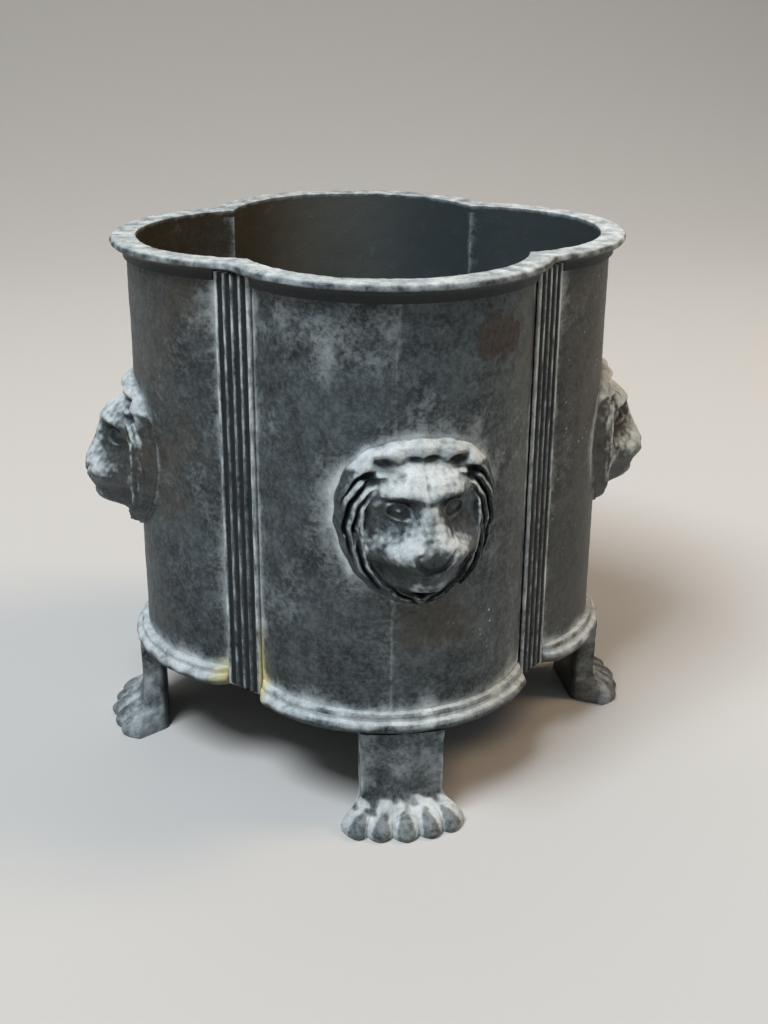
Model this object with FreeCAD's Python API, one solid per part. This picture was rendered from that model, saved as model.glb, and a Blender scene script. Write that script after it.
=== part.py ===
import FreeCAD, Part
import math
import os

# Quatrefoil cast planter. Four lobe walls stand on a moulded base and carry a flanged rim.
# Reeded strips cover the joints between the walls, a lion mask is bolted to each lobe,
# and the base stands on four paw feet.
# Millimetres, +Z up, origin on the floor below the middle of the planter, front lobe towards -Y.

Vector = FreeCAD.Vector

# Body
total_height = 310.0
body_width = 282.0
lobe_offset = 57.5
wall_thickness = 5.5
foot_height = 58.0
floor_thickness = 5.0
drain_radius = 11.0
seat_clearance = 0.15
hole_clearance = 0.4
edge_limit_share = 0.45
cut_overrun = 3.0

# Rim
rim_overhang = 9.0
rim_thickness = 5.0
rim_corner_radius = 12.0
rim_edge_radius = 2.2
skirt_height = 6.5
skirt_projection = 2.2
skirt_hollow_radius = 2.6

# Base moulding
lower_bead_height = 6.8
lower_bead_projection = 8.0
upper_bead_height = 4.4
upper_bead_projection = 4.4

# Corner strips
strip_width = 25.0
strip_edge_thickness = 1.2
reed_radius = 1.5
reed_count = 5
strip_stud_radius = 3.0
strip_stud_low = 105.0
strip_stud_high = 235.0
strip_stud_depth = 5.5
saddle_width = 22.0
saddle_height = 20.0
saddle_thickness = 5.0
strip_nut_across_flats = 10.0
strip_nut_thickness = 5.0
stud_end_length = 2.0

# Lion masks
mask_width = 88.0
mask_height = 94.0
mask_depth = 32.0
mask_edge_thickness = 2.5
mask_centre_height = 181.0
mask_stud_radius = 4.0
mask_stud_depth = 10.0
mask_washer_radius = 9.0
mask_washer_thickness = 3.0
mask_nut_across_flats = 13.0
mask_nut_thickness = 6.5
front_mask_shift = 6.0

# Paw feet
leg_width = 48.0
leg_thickness = 15.5
leg_projection = 6.5
leg_crown = 1.2
paw_width = 71.0
paw_projection = 20.7
paw_inset = 2.0
lug_length = 28.0
lug_width = 34.0
lug_thickness = 6.0
foot_bolt_radius = 4.0
foot_bolt_setback = 13.0
foot_head_across_flats = 13.0
foot_head_thickness = 5.3
foot_washer_radius = 8.5
foot_washer_thickness = 1.6
foot_nut_thickness = 6.5
foot_bolt_end_length = 2.5
front_foot_shift = -2.5

side_names = ("right", "back", "left", "front")
corner_names = ("back_right", "back_left", "front_left", "front_right")

wall_outer_radius = body_width / 2 - lobe_offset
wall_inner_radius = wall_outer_radius - wall_thickness
floor_top = foot_height + floor_thickness
rim_underside = total_height - rim_thickness
diagonal_offset = lobe_offset / math.sqrt(2)

leg_front = body_width / 2 + leg_projection
leg_back = leg_front - leg_thickness
strip_stud_heights = (strip_stud_low, strip_stud_high)

# Sections of the lion's face from the chin up, as shares of the mask's half width, half height and depth:
# level, height of the cheeks and brow, height of the nose and chin, their half width, half width of the face
face_section_shares = (
    (-0.85, -0.25, -0.19, 0.20, 0.34),
    (-0.77, 0.06, 0.25, 0.22, 0.43),
    (-0.70, 0.20, 0.55, 0.24, 0.49),
    (-0.64, 0.28, 0.76, 0.26, 0.53),
    (-0.55, 0.31, 0.86, 0.28, 0.58),
    (-0.47, 0.33, 0.90, 0.31, 0.62),
    (-0.38, 0.35, 0.93, 0.38, 0.65),
    (-0.28, 0.38, 0.97, 0.50, 0.67),
    (-0.17, 0.40, 1.00, 0.51, 0.69),
    (-0.06, 0.40, 0.98, 0.45, 0.69),
    (0.04, 0.40, 0.91, 0.35, 0.70),
    (0.17, 0.41, 0.82, 0.25, 0.69),
    (0.28, 0.44, 0.76, 0.18, 0.69),
    (0.36, 0.52, 0.72, 0.15, 0.68),
    (0.43, 0.61, 0.70, 0.15, 0.67),
    (0.49, 0.64, 0.67, 0.16, 0.66),
    (0.55, 0.59, 0.60, 0.18, 0.63),
    (0.64, 0.43, 0.44, 0.18, 0.58),
    (0.72, 0.26, 0.26, 0.18, 0.54),
    (0.81, 0.10, 0.10, 0.18, 0.48),
    (0.89, -0.14, -0.14, 0.18, 0.40),
)
face_edge_share = 0.06
brow_level_share = 0.40
brow_blend_share = 0.05
brow_drop_share = 0.10
brow_end_share = 0.42
brow_end_drop_share = 0.35
cheek_power = 1.75
brow_power = 2.5
muzzle_power = 4
# Small forms added to the face or sunk into it: place, level, half width, half height and height
face_detail_shares = (
    (0.33, 0.385, 0.21, 0.045, -0.09),
    (0.335, 0.25, 0.23, 0.16, -0.07),
    (0.19, -0.09, 0.06, 0.06, 0.032),
    (0.165, -0.12, 0.04, 0.035, -0.055),
    (0.00, -0.23, 0.03, 0.06, -0.04),
    (0.20, -0.23, 0.12, 0.06, 0.028),
    (0.00, 0.62, 0.04, 0.20, -0.04),
    (0.55, -0.42, 0.10, 0.22, -0.05),
    (0.41, -0.17, 0.15, 0.12, 0.10),
)
# Eye: place, level, half width and half height of the lid's ring, its height and thickness,
# and the ball's height
eye_shares = (0.335, 0.265, 0.13, 0.1, 0.05, 0.26, 0.055)
# Lower lip: level, half width, rise of its ends, its height and thickness, and how far above it, how deep
# and how thick the open mouth is
lip_shares = (-0.40, 0.24, 0.17, 0.025, 0.04, 0.08, 0.07, 0.05)
# Locks of the mane: first and last direction in degrees, first and last distance as shares of the outline,
# half width and height
mane_lock_shares = (
    (54, -8, 0.72, 0.950, 0.046, 0.28),
    (47, -22, 0.68, 0.868, 0.044, 0.30),
    (40, -34, 0.66, 0.788, 0.042, 0.31),
    (-6, -56, 0.80, 0.952, 0.046, 0.27),
    (-18, -68, 0.75, 0.870, 0.044, 0.29),
    (-30, -80, 0.71, 0.790, 0.042, 0.29),
    (-52, -88, 0.84, 0.952, 0.046, 0.25),
    (-64, -96, 0.79, 0.872, 0.044, 0.26),
    (-84, -99, 0.86, 0.950, 0.046, 0.24),
)
# Curls over the forehead: direction, distance, half width, half height and height
mane_curl_shares = (
    (90, 0.88, 0.25, 0.15, 0.235),
    (66, 0.89, 0.23, 0.15, 0.245),
    (46, 0.90, 0.19, 0.15, 0.245),
    (90, 0.80, 0.32, 0.16, 0.190),
    (64, 0.81, 0.26, 0.16, 0.190),
)
# Hollows under the curls: direction, distance, half width, half height and height
curl_hollow_shares = (
    (84, 0.800, 0.100, 0.045, -0.11),
    (60, 0.815, 0.120, 0.075, -0.15),
    (43, 0.800, 0.080, 0.075, -0.15),
)
mane_floor_share = 0.07
mane_inner_share = 0.58
mane_rim_share = 0.90
lock_drop_share = 0.14
lock_end_share = 0.30
curl_drop_share = 0.13
# The raised edge of the face: its place and half width as shares of the face, its height and fall,
# the level of its middle, its half length and the length over which it fades
face_ridge_shares = (1.03, 0.05, 0.33, 0.08, -0.06, 0.62, 0.35)
lock_blend_share = 0.03
outline_power = 2.6
outline_scallop_share = 0.007
outline_scallop_count = 20
chin_taper_share = 0.22
# Steps along a lock, along each side of the relief and along each quarter of the outline
lock_steps = 12
relief_steps = 64
outline_steps = 30

# Levels of the leg and of the paw from the floor up: height as a share of the foot, how far it stands out
# between the leg and the full paw, how deep the toes are cut, and the leg's width
leg_level_shares = (
    (0.00, 0.00, 1.00, 1.02),
    (0.35, 0.00, 1.00, 0.98),
    (0.70, 0.00, 1.00, 0.98),
    (1.00, 0.00, 1.00, 1.01),
)
paw_level_shares = (
    (0.00, 0.93, 0.90, 1.00),
    (0.05, 1.00, 1.00, 1.00),
    (0.11, 0.93, 1.00, 1.00),
    (0.16, 0.76, 0.95, 1.00),
    (0.205, 0.50, 0.85, 1.00),
    (0.25, 0.22, 0.70, 1.00),
    (0.30, 0.02, 0.60, 1.00),
    (0.36, -0.14, 0.60, 1.00),
)
# Tips of the toes and valleys between them: place on the leg, place on the paw, and how far forward,
# as shares of the leg's and the paw's half widths and of the paw's projection
toe_tip_shares = (
    (-0.8, -0.81, 0.68),
    (-0.4, -0.43, 0.90),
    (0.0, 0.00, 1.00),
    (0.4, 0.43, 0.90),
    (0.8, 0.81, 0.68),
)
toe_valley_shares = (
    (-1.0, -1.00, 0.15),
    (-0.6, -0.62, 0.60),
    (-0.2, -0.215, 0.73),
    (0.2, 0.215, 0.73),
    (0.6, 0.62, 0.60),
    (1.0, 1.00, 0.15),
)
# Round of a toe: place between its two valleys, and how far it has risen towards the tip
toe_round_shares = (
    (0.0, 0.0),
    (0.1, 0.58),
    (0.27, 0.89),
    (0.5, 1.0),
    (0.73, 0.89),
    (0.9, 0.58),
    (1.0, 0.0),
)


def quarter_turn(shape, quarter):
    """A copy of a shape turned about the planter's axis by a number of right angles."""
    copy = shape.copy()
    copy.rotate(Vector(0, 0, 0), Vector(0, 0, 1), 90 * quarter)
    return copy


def corner_turn(shape, quarter):
    """A copy of a shape made along +X, turned into one of the corners between lobes."""
    copy = shape.copy()
    copy.rotate(Vector(0, 0, 0), Vector(0, 0, 1), 90 * quarter + 45)
    return copy


def cusp(radius):
    """Distance from both axes of the corner where two neighbouring lobe arcs meet."""
    return (lobe_offset + math.sqrt(2 * radius**2 - lobe_offset**2)) / 2


def wall_distance(radius, across):
    """Distance along a corner's diagonal to the lobe arcs, at a place across the corner."""
    return diagonal_offset + math.sqrt(radius**2 - (diagonal_offset - abs(across))**2)


def turned_point(x, y, z, quarter):
    """A point of the lobe along +X, turned to another lobe."""
    turns = ((1, 0), (0, 1), (-1, 0), (0, -1))
    cosine, sine = turns[quarter % 4]
    return Vector(x * cosine - y * sine, x * sine + y * cosine, z)


def quatrefoil_face(radius, z):
    """Flat face bounded by four lobe arcs that meet in sharp corners."""
    corner = cusp(radius)
    edges = []
    for quarter in range(4):
        start = turned_point(corner, -corner, z, quarter)
        middle = turned_point(lobe_offset + radius, 0, z, quarter)
        end = turned_point(corner, corner, z, quarter)
        edges.append(Part.Arc(start, middle, end).toShape())
    return Part.Face(Part.Wire(edges))


def rounded_quatrefoil_face(radius, corner_radius, z):
    """Flat face bounded by four lobe arcs with rounded inward corners."""
    centre = cusp(radius + corner_radius)
    reach = radius / (radius + corner_radius)
    touch_x = lobe_offset + (centre - lobe_offset) * reach
    touch_y = centre * reach
    middle = centre - corner_radius / math.sqrt(2)
    edges = []
    for quarter in range(4):
        start = turned_point(touch_x, -touch_y, z, quarter)
        crown = turned_point(lobe_offset + radius, 0, z, quarter)
        end = turned_point(touch_x, touch_y, z, quarter)
        corner = turned_point(middle, middle, z, quarter)
        following = turned_point(touch_y, touch_x, z, quarter)
        edges.append(Part.Arc(start, crown, end).toShape())
        edges.append(Part.Arc(end, corner, following).toShape())
    return Part.Face(Part.Wire(edges))


def lobe_wedge():
    """The quarter of space that belongs to the lobe along +X."""
    reach = body_width
    corners = [Vector(0, 0, 0), Vector(reach, -reach, 0), Vector(reach, reach, 0), Vector(0, 0, 0)]
    return Part.Face(Part.makePolygon(corners)).extrude(Vector(0, 0, total_height))


def lobe_moulding(edges):
    """Sweep a section round the lobe along +X and mitre it at the corners."""
    section = Part.Face(Part.Wire(edges))
    axis = Vector(lobe_offset, 0, 0)
    section.rotate(axis, Vector(0, 0, 1), -90)
    ring = section.revolve(axis, Vector(0, 0, 1), 180)
    return ring.common(lobe_wedge())


def section_point(radius, z):
    """A point of a moulding section, by its radius from the lobe's own axis."""
    return Vector(lobe_offset + radius, 0, z)


def segments(points):
    """Straight edges through a row of points."""
    return [Part.makeLine(a, b) for a, b in zip(points, points[1:])]


def hexagon_prism(across_flats, length, base, direction):
    """Six-sided prism, from a point along a direction."""
    corner_radius = across_flats / math.sqrt(3)
    points = []
    for step in range(7):
        angle = math.radians(60 * step)
        points.append(Vector(corner_radius * math.cos(angle), corner_radius * math.sin(angle), 0))
    prism = Part.Face(Part.makePolygon(points)).extrude(Vector(0, 0, length))
    prism.Placement = FreeCAD.Placement(base, FreeCAD.Rotation(Vector(0, 0, 1), direction))
    return prism


def corner_cylinders(radius, bottom, height):
    """The two lobe cylinders beside the corner that lies along +X."""
    right = Part.makeCylinder(radius, height, Vector(diagonal_offset, -diagonal_offset, bottom))
    left = Part.makeCylinder(radius, height, Vector(diagonal_offset, diagonal_offset, bottom))
    return right.fuse(left)


def strip_pocket():
    """The space of a corner strip, with clearance at its sides, for cutting the mouldings."""
    width = strip_width + 2 * hole_clearance
    start = wall_distance(wall_outer_radius, 0) - cut_overrun
    bottom = foot_height - cut_overrun
    height = rim_underside - bottom
    box = Part.makeBox(body_width, width, height, Vector(start, -width / 2, bottom))
    return box.cut(corner_cylinders(wall_outer_radius, bottom, height))


def strip_stud_holes():
    """Clearance holes for the studs of the corner strip that lies along +X."""
    start = wall_distance(wall_inner_radius, 0) - 2 * saddle_thickness
    length = 2 * saddle_thickness + strip_width
    radius = strip_stud_radius + hole_clearance
    holes = [Part.makeCylinder(radius, length, Vector(start, 0, z), Vector(1, 0, 0))
             for z in strip_stud_heights]
    return Part.makeCompound(holes)


def make_base():
    """Floor with the double bead round it, the drain hole, and the holes for the foot bolts."""
    bead_top = foot_height + lower_bead_height
    top = bead_top + upper_bead_height
    outer = wall_outer_radius
    lower_start = outer + lower_bead_projection - lower_bead_height / 2
    upper_start = outer + upper_bead_projection - upper_bead_height / 2
    weld = section_point(outer - floor_thickness, foot_height)
    lower = [section_point(lower_start, foot_height),
             section_point(outer + lower_bead_projection, foot_height + lower_bead_height / 2),
             section_point(lower_start, bead_top)]
    upper = [section_point(upper_start, bead_top),
             section_point(outer + upper_bead_projection, bead_top + upper_bead_height / 2),
             section_point(upper_start, top)]
    edges = [Part.makeLine(weld, lower[0]), Part.Arc(*lower).toShape(), Part.makeLine(lower[2], upper[0]),
             Part.Arc(*upper).toShape()]
    seat = outer + seat_clearance
    edges += segments([upper[2], section_point(seat, top), section_point(seat, floor_top),
                       section_point(outer - floor_thickness, floor_top), weld])
    moulding = lobe_moulding(edges)
    base = quatrefoil_face(outer, foot_height).extrude(Vector(0, 0, floor_thickness))
    base = base.fuse([quarter_turn(moulding, quarter) for quarter in range(4)])
    pocket = strip_pocket()
    base = base.cut([corner_turn(pocket, quarter) for quarter in range(4)])
    drain = Part.makeCylinder(drain_radius, floor_thickness, Vector(0, 0, foot_height))
    radius = foot_bolt_radius + hole_clearance
    tools = [drain]
    for quarter in range(4):
        place = Vector(bolt_distance(), foot_shift(quarter), foot_height)
        hole = Part.makeCylinder(radius, floor_thickness, place)
        tools.append(quarter_turn(hole, quarter))
    return base.cut(tools).removeSplitter()


def make_wall(quarter):
    """One lobe wall with mitred ends, a hole for the mask stud and half holes for the strip studs."""
    outer = cusp(wall_outer_radius)
    inner = cusp(wall_inner_radius)
    outside = Part.Arc(Vector(outer, -outer, floor_top), section_point(wall_outer_radius, floor_top),
                       Vector(outer, outer, floor_top)).toShape()
    inside = Part.Arc(Vector(inner, inner, floor_top), section_point(wall_inner_radius, floor_top),
                      Vector(inner, -inner, floor_top)).toShape()
    ends = [Part.makeLine(Vector(outer, outer, floor_top), Vector(inner, inner, floor_top)),
            Part.makeLine(Vector(inner, -inner, floor_top), Vector(outer, -outer, floor_top))]
    profile = Part.Face(Part.Wire([outside, ends[0], inside, ends[1]]))
    wall = profile.extrude(Vector(0, 0, rim_underside - floor_top))
    stud_hole = Part.makeCylinder(mask_stud_radius + hole_clearance, wall_outer_radius,
                                  Vector(lobe_offset, 0, mask_centre_height), Vector(1, 0, 0))
    holes = strip_stud_holes()
    tools = [mask_turn(stud_hole, quarter), corner_turn(holes, 0), corner_turn(holes, 3)]
    return quarter_turn(wall.cut(tools), quarter)


def make_rim():
    """Flange with a rounded outer edge, and a hollow skirt that fits outside the walls."""
    outer = wall_outer_radius + rim_overhang
    plate = rounded_quatrefoil_face(outer, rim_corner_radius, rim_underside)
    plate = plate.cut(quatrefoil_face(wall_inner_radius, rim_underside))
    flange = plate.extrude(Vector(0, 0, rim_thickness))
    reach = cusp(wall_outer_radius + rim_overhang / 2)
    edges = []
    for edge in flange.Edges:
        middle = edge.valueAt((edge.FirstParameter + edge.LastParameter) / 2)
        level = abs(edge.BoundBox.ZLength) < seat_clearance
        if level and (max(abs(middle.x), abs(middle.y)) > lobe_offset + wall_outer_radius
                      or min(abs(middle.x), abs(middle.y)) > reach):
            edges.append(edge)
    flange = flange.makeFillet(min(rim_edge_radius, rim_thickness * edge_limit_share), edges)
    seat = wall_outer_radius + seat_clearance
    face = wall_outer_radius + skirt_projection
    bottom = rim_underside - skirt_height
    weld = rim_underside + rim_thickness / 2
    hollow_start = section_point(face, rim_underside - skirt_hollow_radius)
    hollow_end = section_point(face + skirt_hollow_radius, rim_underside)
    dip = skirt_hollow_radius * (1 - math.sqrt(0.5))
    hollow_middle = section_point(face + dip, rim_underside - dip)
    edges = segments([section_point(seat, weld), section_point(seat, bottom), section_point(face, bottom),
                      hollow_start])
    edges.append(Part.Arc(hollow_start, hollow_middle, hollow_end).toShape())
    edges += segments([hollow_end, section_point(face + skirt_hollow_radius, weld),
                       section_point(seat, weld)])
    skirt = lobe_moulding(edges)
    pocket = strip_pocket()
    skirt = skirt.cut([corner_turn(pocket, 0), corner_turn(pocket, 3)])
    return flange.fuse([quarter_turn(skirt, quarter) for quarter in range(4)]).removeSplitter()


def make_strip():
    """Reeded strip along +X, seated on both walls, with holes for the two studs that hold it."""
    face = wall_distance(wall_outer_radius, strip_width / 2) + strip_edge_thickness
    back = wall_distance(wall_outer_radius, 0) - cut_overrun
    half = strip_width / 2
    pitch = (strip_width - 2 * reed_radius) / (reed_count - 1)
    edges = [Part.makeLine(Vector(back, -half, foot_height), Vector(face, -half, foot_height))]
    for reed in range(reed_count):
        start = Vector(face, pitch * reed - half, foot_height)
        middle = start + Vector(reed_radius, reed_radius, 0)
        end = start + Vector(0, 2 * reed_radius, 0)
        edges.append(Part.Arc(start, middle, end).toShape())
        if reed < reed_count - 1:
            edges.append(Part.makeLine(end, Vector(face, pitch * (reed + 1) - half, foot_height)))
    edges += segments([Vector(face, half, foot_height), Vector(back, half, foot_height),
                       Vector(back, -half, foot_height)])
    length = rim_underside - foot_height
    strip = Part.Face(Part.Wire(edges)).extrude(Vector(0, 0, length))
    strip = strip.cut(corner_cylinders(wall_outer_radius + seat_clearance, foot_height, length))
    return strip.cut([strip_stud(z, seat_clearance) for z in strip_stud_heights])


def strip_stud(z, clearance):
    """Stud screwed into the back of the corner strip along +X, or the hole for it with a clearance."""
    start = saddle_face() - strip_nut_thickness - stud_end_length
    end = wall_distance(wall_outer_radius, 0) + strip_stud_depth
    return Part.makeCylinder(strip_stud_radius + clearance, end - start + clearance, Vector(start, 0, z),
                             Vector(1, 0, 0))


def make_strip_stud(z):
    """Stud that passes between two walls."""
    return strip_stud(z, 0)


def saddle_face():
    """Distance along the diagonal to the flat inner face of a saddle."""
    return wall_distance(wall_inner_radius, 0) - saddle_thickness


def make_saddle(z):
    """Saddle that straddles the corner inside the planter and takes the nut."""
    depth = wall_distance(wall_inner_radius, saddle_width / 2) - saddle_face()
    bottom = z - saddle_height / 2
    place = Vector(saddle_face(), -saddle_width / 2, bottom)
    saddle = Part.makeBox(depth, saddle_width, saddle_height, place)
    saddle = saddle.common(corner_cylinders(wall_inner_radius - seat_clearance, bottom, saddle_height))
    return saddle.cut(strip_stud_holes())


def make_strip_nut(z):
    """Nut on a strip stud, against the saddle."""
    start = Vector(saddle_face() - strip_nut_thickness, 0, z)
    nut = hexagon_prism(strip_nut_across_flats, strip_nut_thickness, start, Vector(1, 0, 0))
    radius = strip_stud_radius + seat_clearance
    return nut.cut(Part.makeCylinder(radius, strip_nut_thickness, start, Vector(1, 0, 0)))


def mask_turn(shape, quarter):
    """A copy of a shape moved on its lobe to where that lobe's mask was fixed by hand."""
    copy = shape.copy()
    if side_names[quarter] == "front":
        degrees = math.degrees(front_mask_shift / wall_outer_radius)
        copy.rotate(Vector(lobe_offset, 0, 0), Vector(0, 0, 1), degrees)
    return copy


def outline_size(angle):
    """Size of the mask's outline in a direction: a rounded square, narrower at the chin, with scallops."""
    cosine = abs(math.cos(angle))
    sine = math.sin(angle)
    size = (cosine**outline_power + abs(sine)**outline_power)**(-1 / outline_power)
    size *= 1 - chin_taper_share * cosine * max(-sine, 0)
    return size * (1 + outline_scallop_share * math.cos(outline_scallop_count * angle))


def outline_place(degrees, distance):
    """A place on the mask by its direction and its share of the way to the outline."""
    angle = math.radians(degrees)
    reach = distance * outline_size(angle)
    return reach * math.cos(angle), reach * math.sin(angle)


def section_values(up):
    """The face's section at one level, by a smooth curve through the table of sections."""
    rows = face_section_shares
    up = min(max(up, rows[0][0]), rows[-1][0])
    index = 0
    while index < len(rows) - 2 and up > rows[index + 1][0]:
        index += 1
    low = rows[index]
    high = rows[index + 1]
    before = rows[max(index - 1, 0)]
    after = rows[min(index + 2, len(rows) - 1)]
    span = high[0] - low[0]
    t = (up - low[0]) / span
    values = []
    for column in range(1, len(low)):
        leave = span * (high[column] - before[column]) / (high[0] - before[0])
        arrive = span * (after[column] - low[column]) / (after[0] - low[0])
        values.append((2 * t**3 - 3 * t**2 + 1) * low[column] + (t**3 - 2 * t**2 + t) * leave
                      + (3 * t**2 - 2 * t**3) * high[column] + (t**3 - t**2) * arrive)
    return values


def blend(first, second, fillet=lock_blend_share):
    """The higher of two surfaces, with a fillet where they meet."""
    return (first + second + math.sqrt((first - second)**2 + fillet**2)) / 2


def face_height(across, up):
    """Height of the face in front of the lobe, without the mane."""
    centre, centre_half, face_half = section_values(up)[1:]
    level_up = up + brow_drop_share * across + brow_end_drop_share * max(across - brow_end_share, 0)
    face = section_values(level_up)[0]
    reach = across / face_half
    step = 1 / (1 + math.exp((brow_level_share - level_up) / brow_blend_share))
    power = cheek_power + (brow_power - cheek_power) * step
    if face > face_edge_share:
        side = 1 - reach**power if reach < 1 else power * (1 - reach)
        height = face_edge_share + (face - face_edge_share) * side
    else:
        height = face - reach**2 / 2
    height += (centre - face) / (1 + (across / centre_half)**muzzle_power)
    for place, level, half_across, half_up, size in face_detail_shares:
        distance = ((across - place) / half_across)**2 + ((up - level) / half_up)**2
        height += size * math.exp(-distance)
    return height + eye_height(across, up) + mouth_height(across, up)


def eye_height(across, up):
    """Ring of the eyelid round the ball of an eye."""
    place, level, half_across, half_up, ring, ring_half, ball = eye_shares
    reach = math.hypot((across - place) / half_across, (up - level) / half_up)
    return ring * math.exp(-((reach - 1) / ring_half)**2) + ball * max(1 - reach**2, 0)


def mouth_height(across, up):
    """Lower lip that curves up at its ends, and the open mouth above it."""
    level, half_across, rise, lip, lip_half, above, mouth, mouth_half = lip_shares
    reach = across / half_across
    line = level + rise * reach**2
    raised = lip * math.exp(-((up - line) / lip_half)**2)
    sunk = mouth * math.exp(-((up - line - above) / mouth_half)**2)
    return (raised - sunk) * math.exp(-reach**4)


def lock_paths():
    """Each lock of the mane as a row of places, with its half width and height."""
    paths = []
    for first, last, start, end, half_width, height in mane_lock_shares:
        places = []
        for step in range(lock_steps + 1):
            t = step / lock_steps
            degrees = first + (last - first) * t
            distance = start + (end - start) * math.sin(t * math.pi / 2)
            places.append(outline_place(degrees, distance))
        paths.append((places, half_width, height))
    return paths


def lock_height(across, up, path):
    """Height above the wall of one rounded lock that thins towards its tip."""
    places, half_width, height = path
    nearest = None
    for index, (first, second) in enumerate(zip(places, places[1:])):
        run_across = second[0] - first[0]
        run_up = second[1] - first[1]
        along = ((across - first[0]) * run_across + (up - first[1]) * run_up) / (run_across**2 + run_up**2)
        along = min(max(along, 0), 1)
        gap = (across - first[0] - along * run_across)**2 + (up - first[1] - along * run_up)**2
        if nearest is None or gap < nearest[0]:
            nearest = (gap, (index + along) / lock_steps)
    gap, t = nearest
    return height * (1 - lock_end_share * t**4) - lock_drop_share * gap / half_width**2


def mane_height(across, up, paths):
    """Height of the mane above the wall."""
    height = mane_floor_share
    for path in paths:
        height = blend(height, lock_height(across, up, path))
    for degrees, distance, half_across, half_up, top in mane_curl_shares:
        place, level = outline_place(degrees, distance)
        fall = ((across - place) / half_across)**2 + ((up - level) / half_up)**2
        height = blend(height, top - curl_drop_share * fall)
    middle, half, top, drop, level, half_length, fade_length = face_ridge_shares
    face_half = section_values(up)[-1]
    fade = min(max((half_length - abs(up - level)) / fade_length, 0), 1)
    return blend(height, top * fade - drop * ((across / face_half - middle) / half)**2)


def relief(across, up, paths):
    """Distance of the mask's surface from the planter's axis, at shares of its half width and height."""
    across_length = across * mask_width / 2
    wall = lobe_offset + math.sqrt(wall_outer_radius**2 - across_length**2)
    fall = (lobe_offset + wall_outer_radius - wall) / mask_depth
    across = abs(across)
    angle = math.atan2(up, across)
    radius = math.hypot(across, up) / outline_size(angle)
    mane = mane_height(across, up, paths) - 2 * max(mane_inner_share - radius, 0)
    height = blend(face_height(across, up) + fall, mane)
    for degrees, distance, half_across, half_up, size in curl_hollow_shares:
        place, level = outline_place(degrees, distance)
        height += size * math.exp(-(((across - place) / half_across)**2 + ((up - level) / half_up)**2)**1.5)
    edge = mask_edge_thickness / mask_depth
    inside = min(max((1 - radius) / (1 - mane_rim_share), 0), 1)
    return wall + mask_depth * (edge + max(height - edge, 0) * inside**2 * (3 - 2 * inside))


def make_mask():
    """Lion's face in relief for the lobe along +X, hollowed to fit the wall, with a hole for its stud."""
    half_width = mask_width / 2
    half_height = mask_height / 2
    paths = lock_paths()
    reach = 1 + 2 * outline_scallop_share
    rows = []
    for column in range(relief_steps + 1):
        across = reach * (2 * column / relief_steps - 1)
        row = []
        for step in range(relief_steps + 1):
            up = reach * (2 * step / relief_steps - 1)
            level = mask_centre_height + up * half_height
            row.append(Vector(relief(across, up, paths), across * half_width, level))
        rows.append(row)
    surface = Part.BSplineSurface()
    surface.interpolate(rows)
    block = surface.toShape().extrude(Vector(-2 * mask_depth, 0, 0))
    edges = []
    for quarter in range(4):
        points = []
        for step in range(outline_steps + 1):
            across, up = outline_place(90 * (quarter + step / outline_steps), 1)
            points.append(Vector(lobe_offset, half_width * across, mask_centre_height + half_height * up))
        outline = Part.BSplineCurve()
        outline.interpolate(points)
        edges.append(outline.toShape())
    prism = Part.Face(Part.Wire(edges)).extrude(Vector(body_width, 0, 0))
    wall = Part.makeCylinder(wall_outer_radius + seat_clearance, total_height, Vector(lobe_offset, 0, 0))
    return block.common(prism).cut([wall, mask_stud(seat_clearance)])


def mask_stud(clearance):
    """Stud screwed into the back of a mask, or the hole for it with a clearance."""
    start = mask_washer_face() - mask_nut_thickness - stud_end_length
    end = lobe_offset + wall_outer_radius + mask_stud_depth
    return Part.makeCylinder(mask_stud_radius + clearance, end - start + clearance,
                             Vector(start, 0, mask_centre_height), Vector(1, 0, 0))


def mask_washer_face():
    """Distance from the planter's axis to the flat face of a mask washer."""
    return lobe_offset + wall_inner_radius - mask_washer_thickness


def make_mask_washer():
    """Washer with one face curved to the inside of the wall."""
    start = Vector(mask_washer_face(), 0, mask_centre_height)
    washer = Part.makeCylinder(mask_washer_radius, mask_washer_thickness, start, Vector(1, 0, 0))
    inside = Part.makeCylinder(wall_inner_radius - seat_clearance, total_height, Vector(lobe_offset, 0, 0))
    radius = mask_stud_radius + hole_clearance
    hole = Part.makeCylinder(radius, mask_washer_thickness, start, Vector(1, 0, 0))
    return washer.common(inside).cut(hole)


def make_mask_nut():
    """Nut on a mask stud, against the washer."""
    start = Vector(mask_washer_face() - mask_nut_thickness, 0, mask_centre_height)
    nut = hexagon_prism(mask_nut_across_flats, mask_nut_thickness, start, Vector(1, 0, 0))
    radius = mask_stud_radius + seat_clearance
    return nut.cut(Part.makeCylinder(radius, mask_nut_thickness, start, Vector(1, 0, 0)))


def bolt_distance():
    """Distance of the foot bolts from the planter's axis."""
    return leg_back - foot_bolt_setback


def foot_shift(quarter):
    """How far along its lobe a foot was fixed from the lobe's middle."""
    return front_foot_shift if side_names[quarter] == "front" else 0


def foot_point(shares, level):
    """A point of a foot's front at one level, between the leg and the full paw."""
    on_leg, on_paw, forward = shares
    height_share, paw_share, cut_share, width_share = level
    leg_across = on_leg * leg_width * width_share / 2
    across = leg_across + paw_share * (on_paw * paw_width / 2 - leg_across)
    leg_out = leg_front - leg_crown * on_leg**2
    out = leg_out + paw_share * (leg_front + forward * paw_projection - leg_out)
    return Vector(out, across, foot_height * height_share)


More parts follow.
